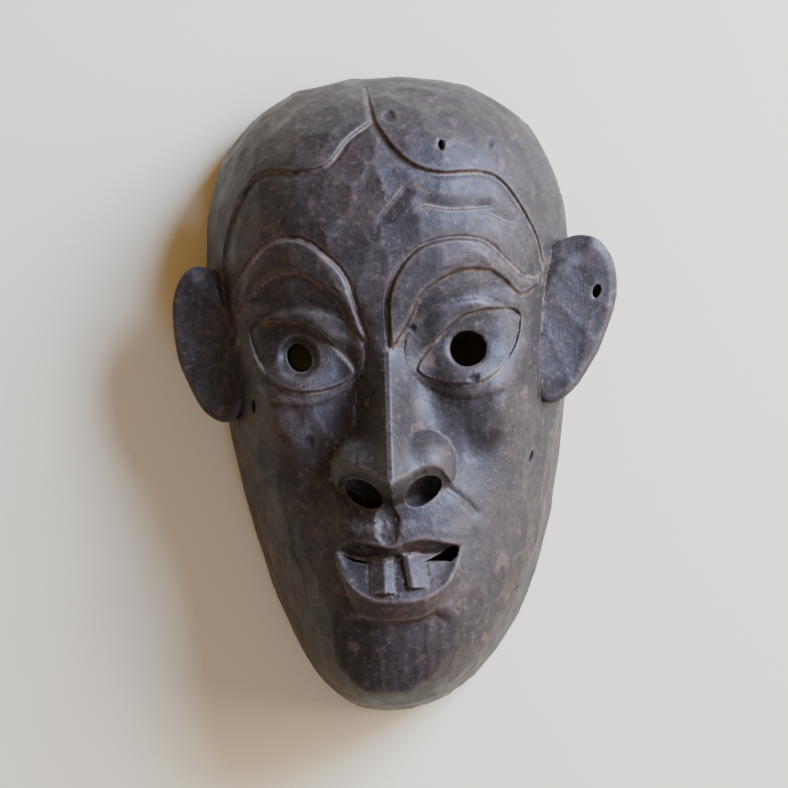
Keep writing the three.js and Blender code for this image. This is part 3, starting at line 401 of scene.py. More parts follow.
eye_line = smooth_line(EYE_OUTLINE, True)
brow_lines = [smooth_line(RIGHT_BROW), smooth_line(LEFT_BROW)]
brow_pads = [
    smooth_line(RIGHT_BROW + RIGHT_BROW_FOOT[::-1], True),
    smooth_line(LEFT_BROW + LEFT_BROW_FOOT[::-1], True),
]
hairline = (
    np.concatenate([
        [PARTING_TOP], smooth_line(RIGHT_HAIRLINE)[0], HAIR_PANEL_FOOT, smooth_line(LEFT_HAIRLINE)[0][::-1],
        [PARTING_TOP],
    ]),
    True,
)
wrinkles = [smooth_line(points) for points in (RIGHT_WRINKLE, TEMPLE_WRINKLE)]
left_notch = smooth_line(LEFT_NOTCH)
mouth_crease = smooth_line(MOUTH_CREASE)
cheek_ridge = smooth_line(CHEEK_RIDGE)
mouth_lines = [smooth_line(points) for points in (LIP_TOP, MOUTH_DEEP, LIP_CREST, LIP_FOOT)]
lip_foot = mouth_lines[-1]


def cut_chin(x, y, height):
    """The front of the chin is cut in flat upright facets that slope in towards the jaw."""
    down = CHIN_FRONT["top_y"] - y
    drop = CHIN_FRONT["slope"] * down + CHIN_FRONT["curl"] * down ** 2
    knots = np.array(CHIN_FACETS, float)
    fall = knots ** 2 / (2 * CHIN_FRONT["round_radius"])
    arris = CHIN_FRONT["arris"]
    bend = (np.interp(x - arris, knots, fall) + np.interp(x + arris, knots, fall)) / 2
    cut = -blended_max(-height, drop + bend - CHIN_FRONT["height"], CHIN_FRONT["blend"])
    start = np.minimum(np.interp(x, *lip_foot[0].T), CHIN_FRONT["lip_y"])
    run = CHIN_FRONT["edge_run"] + np.maximum(np.abs(x) - CHIN_FRONT["lip_half"], 0)
    return height + (cut - height) * ramp(start, start - run, y)


def broad_forms(x, y):
    """Muzzle, sockets, cheekbones and the hollows beside the nose and the mouth."""
    rise = hill(MUZZLE, x, y)
    for form in PAIRED_FORMS.values():
        rise = rise + hill(form, x, y) + hill(form, -x, y)
    ridge = 1 - line_distance(cheek_ridge, np.abs(x), y) / CHEEK_RIDGE_WIDTH
    return rise + CHEEK_RIDGE_RISE * np.maximum(ridge, 0)


def brow_relief(x, y):
    rise = np.zeros_like(x)
    for pad in brow_pads:
        rise += BROW_RISE * ramp(*BROW_EDGE, line_distance(pad, x, y))
    for line in brow_lines:
        rise -= GROOVE_DEPTH * np.maximum(1 - line_distance(line, x, y) / GROOVE_WIDTH, 0)
    return rise


def eye_relief(x, y):
    rise = np.zeros_like(x)
    for side in (1, -1):
        across = side * x - EYE_X
        up = y - EYE_Y
        edge = line_distance(eye_line, across, up)
        bulge = 1 - (across / EYEBALL["half_width"]) ** 2 - (up / EYEBALL["half_height"]) ** 2
        ball = EYEBALL["rise"] * np.sqrt(np.maximum(bulge, 0))
        is_upper = ramp(LID_CORNER["low"], LID_CORNER["high"], up + LID_CORNER["tilt"] * across)
        fade = (UPPER_LID["width"] + UPPER_LID["fade_out"], UPPER_LID["width"] - UPPER_LID["fade_in"])
        upper = UPPER_LID["rise"] * ramp(*fade, edge) * ramp(-SOFT_EDGE, SOFT_EDGE, edge)
        upper = upper - LID_GROOVE["depth"] * np.maximum(1 - np.abs(edge) / LID_GROOVE["width"], 0)
        lower = LOWER_LID_RISE * ramp(SOFT_EDGE, -SOFT_EDGE, edge)
        rise += ball + upper * is_upper + lower * (1 - is_upper)
    for bevel in (LEFT_BEVEL, RIGHT_BEVEL):
        rise -= bevel["depth"] * ramp(bevel["outer"], bevel["inner"], oval_reach(bevel, x, y))
    return rise


def hair_relief(x, y):
    edge = line_distance(hairline, x, y)
    cut = HAIR_CUT["depth"] * np.maximum(1 - np.abs(edge + HAIR_CUT["offset"]) / HAIR_CUT["width"], 0)
    return ramp(*HAIR_FADE_Y, y) * (HAIR_RISE * ramp(*HAIR_EDGE, edge) - cut)


def wrinkle_relief(x, y):
    """A wrinkle is a scoop above its line, with a sharp lower edge; the notch is a scoop below its line."""
    rise = np.zeros_like(x)
    for line in wrinkles:
        distance = line_distance(line, x, y)
        order = np.argsort(line[0][:, 0])
        line_y = np.interp(x, line[0][order, 0], line[0][order, 1])
        above = ramp(-WRINKLE_EDGE, WRINKLE_EDGE, y - line_y)
        rise -= WRINKLE_DEPTH * above * np.maximum(1 - distance / WRINKLE_REACH, 0)
    (end_x, end_y), (start_x, start_y) = LEFT_NOTCH
    turn = (x - start_x) * (end_y - start_y) - (y - start_y) * (end_x - start_x)
    below = ramp(-NOTCH_EDGE, NOTCH_EDGE, turn / math.hypot(end_x - start_x, end_y - start_y))
    rise -= WRINKLE_DEPTH * below * np.maximum(1 - line_distance(left_notch, x, y) / WRINKLE_REACH, 0)
    crease = line_distance(mouth_crease, x, y)
    return rise - CREASE_DEPTH * np.maximum(1 - crease / CREASE_WIDTH, 0)


def line_at(points, across):
    knots, y, height = np.array(points, float).T
    return np.interp(across, knots, y), np.interp(across, knots, height)


def nose_roof(x, across, along):
    ridge = NOSE["root_height"] + (NOSE["tip_height"] - NOSE["root_height"]) * along
    bridge_share = NOSE["bridge_share"]
    slope = NOSE["root_slope"] + (NOSE["bridge_slope"] - NOSE["root_slope"]) * ramp(0, bridge_share, along)
    slope = slope + (NOSE["tip_slope"] - NOSE["bridge_slope"]) * ramp(bridge_share, 1, along)
    slope = slope * np.where(x < NOSE["x"], NOSE["left_share"], 1)
    off_ridge = np.maximum(across - NOSE["ridge_half"], 0)
    wall = NOSE["wall_slope"] * np.maximum(off_ridge - NOSE["flank"], 0)
    return ridge - slope * np.minimum(off_ridge, NOSE["flank"]) - wall


def wing_height(across, y):
    reach = np.hypot((across - WING["x"]) / WING["half_width"], (y - WING["y"]) / WING["half_height"])
    dome = WING["base"] + WING["rise"] * np.sqrt(np.maximum(1 - reach ** 2, 0))
    return np.where(reach < 1, dome, WING["base"] - WING["fall"] * (reach - 1))


def nose_height(x, y):
    across = np.abs(x - NOSE["x"])
    along = (NOSE["root_y"] - y) / (NOSE["root_y"] - NOSE["tip_y"])
    upper = blended_max(nose_roof(x, across, along), wing_height(across, y), WING["blend"])
    arris_y, arris_height = line_at(NOSE_ARRIS, across)
    foot_y, foot_height = line_at(NOSE_FOOT, across)
    underside = foot_height + (arris_height - foot_height) * (y - foot_y) / (arris_y - foot_y)
    height = -blended_max(-upper, -underside, UNDERSIDE_BLEND)
    beyond = (along < 0) | (y < NOSE["end_y"]) | (across > NOSE["reach"])
    return np.where(beyond, -FAR, height)


def nostril_depth(x, y):
    depth = np.zeros_like(x)
    for side in (1, -1):
        reach = oval_reach(NOSTRIL, x - NOSE["x"], y, side)
        depth += NOSTRIL["depth"] * np.sqrt(np.maximum(1 - reach ** 2, 0))
    return depth


def philtrum_depth(x, y):
    return PHILTRUM["depth"] * np.sqrt(np.maximum(1 - oval_reach(PHILTRUM, x, y) ** 2, 0))


def tooth_rise(tooth, x, y):
    across = x - tooth["x"] + tooth["lean"] * (y - tooth["top_y"])
    outer, inner = TOOTH_EDGE
    width = ramp(tooth["half_width"] + outer, tooth["half_width"] - inner, np.abs(across))
    foot = ramp(tooth["bottom_y"] - TOOTH_FOOT, tooth["bottom_y"], y)
    length = foot * ramp(tooth["top_y"] + TOOTH_ROOT, tooth["top_y"], y)
    return width * length * (TOOTH_RISE - TOOTH_FACET * np.abs(across - tooth["arris"]))


def mouth_relief(x, y):
    """From the lower lip's foot out to its crest, in to the deepest line and out to the upper lip's crest."""
    left, right = MOUTH_CORNERS
    open_share = ramp(left, left + CORNER_LENGTH, x) * ramp(right, right - CORNER_LENGTH, x)
    top, deep, crest, foot = [np.interp(x, *line[0].T) for line in mouth_lines]
    depth = np.interp(x, *np.array(MOUTH_DEPTH, float).T)
    to_crest = np.clip((y - foot) / (crest - foot), 0, 1)
    to_deep = np.clip((y - crest) / (deep - crest), 0, 1)
    to_top = np.clip((y - deep) / (top - deep), 0, 1)
    profile = LIP_RISE * to_crest - (LIP_RISE + depth) * to_deep + depth * to_top
    teeth = np.maximum(tooth_rise(LEFT_TOOTH, x, y), tooth_rise(RIGHT_TOOTH, x, y))
    return open_share * (profile + teeth)


def stopped_hole_depth(x, y):
    reach = np.hypot(x - STOPPED_HOLE["x"], y - STOPPED_HOLE["y"])
    edge = (STOPPED_HOLE["radius"] + STOPPED_HOLE["soft"], STOPPED_HOLE["radius"] - STOPPED_HOLE["soft"])
    return STOPPED_HOLE["depth"] * ramp(*edge, reach)


def pit_depth(x, y):
    depth = np.zeros_like(x)
    for pit in PITS:
        depth += pit["depth"] * np.sqrt(np.maximum(1 - oval_reach(pit, x, y) ** 2, 0))
    return depth


def relief(x, y, base):
    """Carving height over the uncarved front."""
    face = base + broad_forms(x, y) + brow_relief(x, y) + eye_relief(x, y) + hair_relief(x, y)
    face = face + wrinkle_relief(x, y)
    face = blended_max(face, nose_height(x, y), NOSE["blend"])
    face = face - nostril_depth(x, y) - philtrum_depth(x, y) - stopped_hole_depth(x, y) - pit_depth(x, y)
    face = face + np.where(y < MOUTH_TOP_Y, mouth_relief(x, y), 0)
    return cut_chin(x, y, face) - base


def disc_to_outline(points, inset):
    """Points of the unit disc laid onto the outline."""
    reach = np.minimum(np.hypot(points[:, 0], points[:, 1]), 1)
    spread = np.where(reach > 0, np.sin(reach * math.pi / 2) / np.maximum(reach, TINY), math.pi / 2)
    up_share = np.clip(points[:, 1] * spread, -1, 1)
    run = np.where(up_share > 0, CROWN_Y - WIDEST_Y, WIDEST_Y - CHIN_Y)
    narrow = np.sqrt(np.maximum(1 - up_share ** 2, TINY))
    across = np.clip(points[:, 0] * spread / narrow, -1, 1)
    outer_y = WIDEST_Y + run * up_share
    half_width = rim_half_width(outer_y) * (HALF_WIDTH - inset) / HALF_WIDTH
    x = rim_centre(outer_y) + half_width * across
    y = WIDEST_Y + (run - inset) * up_share
    return x, y, across, outer_y, reach


def front_points(points):
    x, y, across, _, reach = disc_to_outline(points, 0)
    on_rim = np.hypot(points[:, 0], points[:, 1]) > ON_EDGE
    base = FACE_HEIGHT * front_height(across, y, CHIN_ROUND)
    rise = np.where(on_rim, 0, ramp(1, RELIEF_FADE, reach) * relief(x, y, base))
    lean = ramp(LEAN_START, 1, reach)
    outward = np.stack([lean * points[:, 0], lean * points[:, 1], 1 - lean + LEAST_UPRIGHT], 1)
    outward /= np.linalg.norm(outward, axis=1, keepdims=True)
    return np.stack([x, y, np.where(on_rim, 0, base)], 1) + outward * rise[:, None]


def hollow_points(points):
    x, y, across, outer_y, _ = disc_to_outline(points, RIM_WIDTH)
    on_rim = np.hypot(points[:, 0], points[:, 1]) > ON_EDGE
    height = HOLLOW_HEIGHT * front_height(across, outer_y, HOLLOW_CHIN_ROUND)
    return np.stack([x, y, np.where(on_rim, 0, height)], 1)


def ear_points(ear, is_front):
    tilt = math.radians(ear["tilt"])

    def place(points):
        along = ear["half_length"] * points[:, 1]
        across = ear["half_width"] * points[:, 0] * (1 + ear["egg"] * points[:, 1])
        outward = across * math.cos(tilt) + along * math.sin(tilt)
        up = along * math.cos(tilt) - across * math.sin(tilt)
        reach = np.minimum(np.hypot(points[:, 0], points[:, 1]), 1)
        edge = EAR_HEIGHT - EAR_LEAN * outward
        dish = EAR_DISH["depth"] * ramp(*EAR_DISH["reach"], reach) * ramp(*EAR_DISH["along"], points[:, 1])
        top_inner = (points[:, 1] - points[:, 0]) / np.maximum(math.sqrt(2) * reach, TINY)
        bevel = EAR_BEVEL["depth"] * ramp(*EAR_BEVEL["turn"], top_inner) * ramp(*EAR_BEVEL["reach"], reach)
        bevel = bevel + EAR_RIM["depth"] * ramp(*EAR_RIM["reach"], reach)
        thickness = EAR_EDGE + (EAR_THICKNESS - EAR_EDGE) * np.sqrt(1 - reach ** 2)
        back = thickness + EAR_ROOT["depth"] * ramp(*EAR_ROOT["across"], points[:, 0])
        height = edge - dish - bevel if is_front else edge - back
        return np.stack([ear["x"] + ear["side"] * outward, ear["y"] + up, height], 1)

    return place


def line_map():
    """Distance to the nearest carved line on a one-millimetre grid over the face."""
    grid_x, grid_y = np.meshgrid(np.arange(-MAP_X, MAP_X + 1), np.arange(-MAP_Y, MAP_Y + 1))
    lines = [hairline, *brow_lines, *brow_pads, *wrinkles, left_notch, *mouth_lines]
    nearest = np.min([np.abs(line_distance(line, grid_x, grid_y)) for line in lines], axis=0)
    eyes = np.abs(line_distance(eye_line, np.abs(grid_x) - EYE_X, grid_y - EYE_Y))
    nose = np.where(nose_height(grid_x, grid_y) > WING["base"], 1.0, FAR)
    teeth = np.maximum(tooth_rise(LEFT_TOOTH, grid_x, grid_y), tooth_rise(RIGHT_TOOTH, grid_x, grid_y))
    chin = np.min([np.abs(grid_x - knot) for knot in CHIN_FACETS[2:-2]], axis=0)
    chin = np.where((grid_y < CHIN_FRONT["lip_y"]) & (grid_y > CHIN_FRONT["foot_y"]), chin, FAR)
    return np.min([nearest, eyes, nose, np.where(teeth > 0, 0.0, FAR), chin], axis=0)


LINE_MAP = line_map()


def line_nearness(x, y):
    row = np.clip(np.rint(y + MAP_Y), 0, LINE_MAP.shape[0] - 1).astype(int)
    column = np.clip(np.rint(x + MAP_X), 0, LINE_MAP.shape[1] - 1).astype(int)
    return LINE_MAP[row, column]


def front_edge_limit(points):
    x, y, _, _, reach = disc_to_outline(points, 0)
    limit = np.where(line_nearness(x, y) < LINE_BAND, EDGE_ON_LINES, EDGE_ON_FACE)
    return np.where(reach > WALL_REACH, EDGE_ON_WALL, limit)


def disc_fan(sectors, rings, offset):
    """Corner points and triangles of a disc, from its centre out."""
    turns = 2 * math.pi * np.arange(sectors) / sectors
    circle = np.stack([np.cos(turns), np.sin(turns)], 1)
    points = np.concatenate([[[0.0, 0.0]]] + [circle * ring / rings for ring in range(1, rings + 1)])
    k = np.arange(sectors)
    following = (k + 1) % sectors
    triangles = [np.stack([np.zeros_like(k), 1 + k, 1 + following], 1)]
    for ring in range(1, rings):
        inner = 1 + (ring - 1) * sectors
        outer = 1 + ring * sectors
        triangles.append(np.stack([inner + k, outer + k, outer + following], 1))
        triangles.append(np.stack([inner + k, outer + following, inner + following], 1))
    loop = offset + 1 + (rings - 1) * sectors + k
    return points, np.concatenate(triangles) + offset, loop


class Shell:
    """A closed shell of two discs, front and back, joined by a strip along their edges."""

    def __init__(self, places, limits, sectors, rings):
        self.places = places
        self.limits = limits
        front, front_triangles, front_loop = disc_fan(sectors, rings, 0)
        back, back_triangles, back_loop = disc_fan(sectors, rings, len(front))
        next_front = np.roll(front_loop, -1)
        next_back = np.roll(back_loop, -1)
        strip = np.concatenate([
            np.stack([front_loop, next_back, next_front], 1),
            np.stack([front_loop, back_loop, next_back], 1),
        ])
        self.points = np.concatenate([front, back])
        self.side = np.repeat([0, 1], [len(front), len(back)])
        self.triangles = np.concatenate([front_triangles, back_triangles[:, ::-1], strip])
        self.positions = self.place(self.points, self.side)

    def place(self, points, side):
        positions = np.zeros((len(points), 3))
        for k in (0, 1):
            if (side == k).any():
                positions[side == k] = self.places[k](points[side == k])
        return positions

    def refine(self):
        """One round of splitting; a split edge always brings its triangle's longest edge along."""
        count = len(self.points)
        corners = self.triangles[:, [[0, 1], [1, 2], [2, 0]]]
        pairs = np.sort(corners, axis=2)
        keys, edge_of = np.unique(pairs[..., 0] * count + pairs[..., 1], return_inverse=True)
        edge_of = edge_of.reshape(-1, 3)
        ends = np.stack([keys // count, keys % count], 1)
        same = self.side[ends[:, 0]] == self.side[ends[:, 1]]
        length = np.linalg.norm(self.positions[ends[:, 0]] - self.positions[ends[:, 1]], axis=1)
        middle = self.points[ends].mean(1)
        both_on_edge = (np.linalg.norm(self.points[ends], axis=2) > ON_EDGE).all(1)
        radius = np.maximum(np.linalg.norm(middle, axis=1, keepdims=True), TINY)
        middle = np.where(both_on_edge[:, None], middle / radius, middle)
        side = self.side[ends[:, 0]]
        limit = np.where(side == 0, self.limits[0](middle), self.limits[1](middle))
        split = same & (length > limit)
        if not split.any():
            return False
        open_length = np.where(same, length, -1)[edge_of]
        longest = edge_of[np.arange(len(edge_of)), open_length.argmax(1)]
        spreading = True
        while spreading:
            wanted = longest[split[edge_of].any(1)]
            spreading = not split[wanted].all()
            split[wanted] = True
        new_index = np.full(len(keys), -1)
        new_index[split] = count + np.arange(split.sum())
        self.positions = np.concatenate([self.positions, self.place(middle[split], side[split])])
        self.points = np.concatenate([self.points, middle[split]])
        self.side = np.concatenate([self.side, side[split]])
        self.triangles = self.split_triangles(new_index[edge_of])
        return True

    def split_triangles(self, middles):
        cuts = (middles >= 0).sum(1)
        found = [self.triangles[cuts == 0]]
        a, b, c, ab, bc, ca = np.concatenate([self.triangles, middles], 1)[cuts == 3].T
        found += [np.stack(t, 1) for t in ((a, ab, ca), (ab, b, bc), (ca, bc, c), (ab, bc, ca))]
        for turn in range(3):
            order = [(turn + k) % 3 for k in range(3)]
            turned = np.concatenate([self.triangles[:, order], middles[:, order]], 1)
            one = (cuts == 1) & (turned[:, 3] >= 0)
            a, b, c, ab, _, _ = turned[one].T
            found += [np.stack([a, ab, c], 1), np.stack([ab, b, c], 1)]
            two = (cuts == 2) & (turned[:, 5] < 0)
            a, b, c, ab, bc, _ = turned[two].T
            place = self.positions
            from_a = np.linalg.norm(place[a] - place[bc], axis=1)
            short = from_a < np.linalg.norm(place[ab] - place[c], axis=1)
            found += [
                np.stack([ab, b, bc], 1),
                np.stack([a, ab, np.where(short, bc, c)], 1),
                np.stack([np.where(short, a, ab), bc, c], 1),
            ]
        return np.concatenate(found)

    def refine_all(self):
        for _ in range(REFINE_ROUNDS):
            if not self.refine():
                break


def constant_limit(length):
    return lambda points: np.full(len(points), length)


def to_object(name, positions, faces):
    mesh = bpy.data.meshes.new(name)
    mesh.from_pydata(positions.tolist(), [], [list(map(int, face)) for face in faces])
    mesh.update()
    piece = bpy.data.objects.new(name, mesh)
    bpy.context.scene.collection.objects.link(piece)
    return piece


def mask_shell():
    shell = Shell(
        (front_points, hollow_points), (front_edge_limit, constant_limit(EDGE_IN_HOLLOW)), sectors=24, rings=6
    )
    shell.refine_all()
    return to_object("carved_wood", shell.positions, shell.triangles)


def ear_shell(ear):
    shell = Shell(
        (ear_points(ear, True), ear_points(ear, False)),
        (constant_limit(EDGE_ON_EAR), constant_limit(2 * EDGE_ON_EAR)), sectors=20, rings=3,
    )
    shell.refine_all()
    triangles = shell.triangles if ear["side"] > 0 else shell.triangles[:, ::-1]
    return to_object("ear", shell.positions, triangles)


def oval_outline(oval):
    turns = 2 * math.pi * np.arange(HOLE_SIDES) / HOLE_SIDES
    along = oval["half_width"] * np.cos(turns)
    beside = oval["half_height"] * np.sin(turns)
    x = oval["x"] + along * math.cos(oval["turn"]) - beside * math.sin(oval["turn"])
    y = oval["y"] + along * math.sin(oval["turn"]) + beside * math.cos(oval["turn"])
    return np.stack([x, y], 1)


def prism(name, outline, low, high):
    """A straight prism along Z through a closed plan outline."""
    outline = np.array(outline, float)
    following = np.roll(outline, -1, axis=0)
    if (outline[:, 0] * following[:, 1] - following[:, 0] * outline[:, 1]).sum() < 0:
        outline = outline[::-1]
    count = len(outline)
    positions = np.concatenate([np.insert(outline, 2, z, axis=1) for z in (low, high)])
    k = np.arange(count)
    after = (k + 1) % count
    faces = [list(k[::-1]), list(count + k)]
    faces += np.stack([k, after, count + after, count + k], 1).tolist()
    return to_object(name, positions, faces)


def surface_height(x, y):
    across = (x - rim_centre(y)) / rim_half_width(y)
    base = FACE_HEIGHT * front_height(across, y, CHIN_ROUND)
    return float((base + relief(x, y, base))[0])


def blind_hole(hole):
    """A blind hole square to the surface: its axis leans from Z to the side."""
    tool = prism("small_hole", oval_outline(dict(hole, x=0.0, y=0.0)), -SMALL_HOLE_DEPTH, SMALL_HOLE_DEPTH)
    height = surface_height(np.array([hole["x"]]), np.array([hole["y"]]))
    turn = Matrix.Rotation(math.radians(hole["lean"]), 4, "Y")
    tool.data.transform(Matrix.Translation((hole["x"], hole["y"], height)) @ turn)
    return tool


def combine(piece, tool, operation):
    change = piece.modifiers.new(operation.lower(), "BOOLEAN")
    change.operation = operation
    change.solver = "MANIFOLD"
    change.object = tool
    bake(piece)
    piece.data.materials.clear()
    bpy.data.objects.remove(tool)


def bake(piece):
    """The piece as its modifiers leave it, as a plain mesh."""
    bpy.context.view_layer.update()
    evaluated = piece.evaluated_get(bpy.context.evaluated_depsgraph_get())
    mesh = bpy.data.meshes.new_from_object(evaluated)
    piece.modifiers.clear()
    piece.data = mesh


def carved_mask():
    piece = mask_shell()
    for ear in (RIGHT_EAR, LEFT_EAR):
        combine(piece, ear_shell(ear), "UNION")
    for hole in SMALL_HOLES:
        combine(piece, blind_hole(hole), "DIFFERENCE")
    combine(piece, prism("ear_hole", oval_outline(EAR_HOLE), EAR_HOLE_FLOOR, TOOL_TOP), "DIFFERENCE")
    for outline in (oval_outline(RIGHT_PUPIL), oval_outline(LEFT_PUPIL), RIGHT_GAP, LEFT_GAP):
        combine(piece, prism("through_hole", outline, TOOL_FOOT, TOOL_TOP), "DIFFERENCE")
    return piece


def to_linear(code):
    channels = [int(code[k:k + 2], 16) / 255 for k in (1, 3, 5)]
    return [c / 12.92 if c <= 0.04045 else ((c + 0.055) / 1.055) ** 2.4 for c in channels] + [1.0]


def settle(piece):
    """Millimetres to metres, with the rim plane at Z 0 and the middle of the box at X 0 and Y 0."""
    positions = np.zeros(len(piece.data.vertices) * 3)
    piece.data.vertices.foreach_get("co", positions)
    positions = positions.reshape(-1, 3)
    middle = (positions.min(0) + positions.max(0)) / 2
    piece.data.transform(Matrix.Scale(MM, 4) @ Matrix.Translation((-middle[0], -middle[1], 0)))
    return middle


def aim_camera(middle):
    data = bpy.data.cameras.new("camera")
    data.sensor_width = SENSOR_WIDTH
    data.lens = SENSOR_WIDTH * CAMERA_DISTANCE / PICTURE_WIDTH
    camera = bpy.data.objects.new("camera", data)
    bpy.context.scene.collection.objects.link(camera)
    yaw = math.radians(CAMERA_YAW)
    roll = math.radians(CAMERA_ROLL)
    back = Vector((math.sin(yaw), 0, math.cos(yaw)))
    up = Vector((math.sin(roll), math.cos(roll), 0))
    right = up.cross(back).normalized()
    up = back.cross(right)
    target = Vector((-middle[0], -middle[1], 0)) * MM
    turn = Matrix((right, up, back)).transposed().to_4x4()
    camera.matrix_world = Matrix.Translation(target + back * CAMERA_DISTANCE * MM) @ turn
    bpy.context.scene.camera = camera


def soft_light(name, place, size, power, colour):
    data = bpy.data.lights.new(name, "AREA")
    data.shape = "DISK"
    data.size = size
    data.energy = power
    data.color = to_linear(colour)[:3]
    light = bpy.data.objects.new(name, data)
    light.location = place
    light.rotation_euler = Vector(place).to_track_quat("Z", "Y").to_euler()
    bpy.context.scene.collection.objects.link(light)


def studio():
    half = FLOOR_HALF
    corners = np.array([(-half, -half, 0), (half, -half, 0), (half, half, 0), (-half, half, 0)])
    floor = to_object("floor", corners, [(0, 1, 2, 3)])
    paint = bpy.data.materials.new("matt_cream_paper")
    paint.use_nodes = True
    shader = paint.node_tree.nodes["Principled BSDF"]
    shader.inputs["Base Color"].default_value = to_linear(FLOOR_COLOUR)
    shader.inputs["Roughness"].default_value = FLOOR_ROUGHNESS
    floor.data.materials.append(paint)
    for light in LIGHTS:
        soft_light(**light)
    world = bpy.data.worlds.new("studio")
    world.use_nodes = True
    surround = world.node_tree.nodes["Background"]
    surround.inputs["Color"].default_value = to_linear(SURROUND_COLOUR)
    surround.inputs["Strength"].default_value = SURROUND_STRENGTH
    bpy.context.scene.world = world


def read_vectors(items, name):
    values = np.zeros(len(items) * 3)
    items.foreach_get(name, values)
    return values.reshape(-1, 3)


def store(mesh, name, values):
    attribute = mesh.attributes.new(name, "FLOAT", "POINT")
    attribute.data.foreach_set("value", np.asarray(values, np.float32))


def mark_lines(piece):
    """How close each point is to a carved line."""
    x, y, _ = read_vectors(piece.data.vertices, "co").T
    lines = [hairline, *brow_lines, *brow_pads, *wrinkles, mouth_lines[1]]
    nearest = np.min([np.abs(line_distance(line, x, y)) for line in lines], axis=0)
    eyes = np.abs(line_distance(eye_line, np.abs(x) - EYE_X, y - EYE_Y))
    store(piece.data, "carved_line", ramp(*DUST_LINE_EDGE, np.minimum(nearest, eyes)))


def paint_hole_shade(piece):
    """Near-black painted shade inside the small holes and pits, darkest within their outlines."""
    x, y, _ = read_vectors(piece.data.vertices, "co").T
    plug = dict(STOPPED_HOLE, half_width=STOPPED_HOLE["radius"], half_height=STOPPED_HOLE["radius"], turn=0.0)
    ovals = [*SMALL_HOLES, *PITS, EAR_HOLE, plug]
    nearest = np.min([oval_reach(oval, x, y) for oval in ovals], axis=0)
    store(piece.data, "hole_shade", ramp(*HOLE_SHADE_EDGE, nearest))


def mark_facets(piece):
    """Where the chisel left its facets: everywhere but on the flat rim and along the fine lines."""
    positions = read_vectors(piece.data.vertices, "co")
    off_rim = ramp(*RIM_CLEARANCE, positions[:, 2])
    off_lines = ramp(*LINE_CLEARANCE, line_nearness(positions[:, 0], positions[:, 1]))
    store(piece.data, "facet_share", off_rim * (FACETS_ON_LINES + (1 - FACETS_ON_LINES) * off_lines))


class Tree:
    """Adds nodes with their settings and links to a node tree."""

    def __init__(self, tree):
        self.tree = tree

    def add(self, kind, inputs=None, **settings):
        node = self.tree.nodes.new(kind)
        for name, value in settings.items():
            setattr(node, name, value)
        for key, value in (inputs or {}).items():
            if isinstance(value, bpy.types.NodeSocket):
                self.tree.links.new(value, node.inputs[key])
            else:
                node.inputs[key].default_value = value
        return node


def chisel_tree():
    """Cells of shallow scoops with crisp ridges between them, pressed in along the surface normal."""
    tree = bpy.data.node_groups.new("chisel_facets", "GeometryNodeTree")
    sockets = {
        "Geometry": "NodeSocketGeometry", "Facet Size": "NodeSocketFloat", "Facet Depth": "NodeSocketFloat",
        "Facet Tilt": "NodeSocketFloat", "Wood": "NodeSocketMaterial",
    }
    for name, kind in sockets.items():
        tree.interface.new_socket(name, in_out="INPUT", socket_type=kind)
    tree.interface.new_socket("Geometry", in_out="OUTPUT", socket_type="NodeSocketGeometry")
    build = Tree(tree)
    given = build.add("NodeGroupInput").outputs
    place = build.add("GeometryNodeInputPosition").outputs["Position"]
    long_cells = build.add(
        "ShaderNodeVectorMath", {0: place, 1: FACET_STRETCH}, operation="MULTIPLY"
    ).outputs[0]
    per_metre = build.add("ShaderNodeMath", {0: 1.0, 1: given["Facet Size"]}, operation="DIVIDE").outputs[0]
    cells = build.add(
        "ShaderNodeTexVoronoi", {"Vector": long_cells, "Scale": per_metre, "Smoothness": FACET_BLEND},
        feature="SMOOTH_F1",
    ).outputs
    scoop = build.add("ShaderNodeMath", {0: cells["Distance"], 1: 2.0}, operation="POWER").outputs[0]
    hollow = build.add("ShaderNodeMath", {0: scoop, 1: given["Facet Depth"]}, operation="MULTIPLY").outputs[0]
    from_centre = build.add(
        "ShaderNodeVectorMath", {0: long_cells, 1: cells["Position"]}, operation="SUBTRACT"
    ).outputs[0]
    turn = build.add(
        "ShaderNodeVectorMath", {0: cells["Color"], 1: MID_GREY}, operation="SUBTRACT"
    ).outputs[0]
    tilt = build.add(
        "ShaderNodeVectorMath", {0: turn, 1: from_centre}, operation="DOT_PRODUCT"
    ).outputs["Value"]
    deep = build.add(
        "ShaderNodeMath", {0: tilt, 1: given["Facet Tilt"], 2: hollow}, operation="MULTIPLY_ADD"
    ).outputs[0]
    share = build.add("GeometryNodeInputNamedAttribute", {"Name": "facet_share"}, data_type="FLOAT")
    patches = build.add(
        "ShaderNodeTexNoise", {"Vector": place, "Scale": 1 / (PATCH_SIZE * MM), "Detail": PATCH_DETAIL}
    )
    worn = build.add("ShaderNodeMapRange", {
        "Value": patches.outputs["Fac"], "From Min": PATCH_RANGE[0], "From Max": PATCH_RANGE[1],
        "To Min": LEAST_FACET,
    }).outputs["Result"]
    kept = build.add(
        "ShaderNodeMath", {0: share.outputs["Attribute"], 1: worn}, operation="MULTIPLY"
    ).outputs[0]
    masked = build.add("ShaderNodeMath", {0: deep, 1: kept}, operation="MULTIPLY").outputs[0]
    normal = build.add("GeometryNodeInputNormal").outputs["Normal"]
    offset = build.add("ShaderNodeVectorMath", {0: normal, "Scale": masked}, operation="SCALE").outputs[0]
    moved = build.add("GeometryNodeSetPosition", {"Geometry": given["Geometry"], "Offset": offset})
    real = build.add("GeometryNodeRealizeInstances", {"Geometry": moved.outputs["Geometry"]})
    painted = build.add(
        "GeometryNodeSetMaterial", {"Geometry": real.outputs["Geometry"], "Material": given["Wood"]}
    )
    build.add("NodeGroupOutput", {"Geometry": painted.outputs["Geometry"]})
    return tree


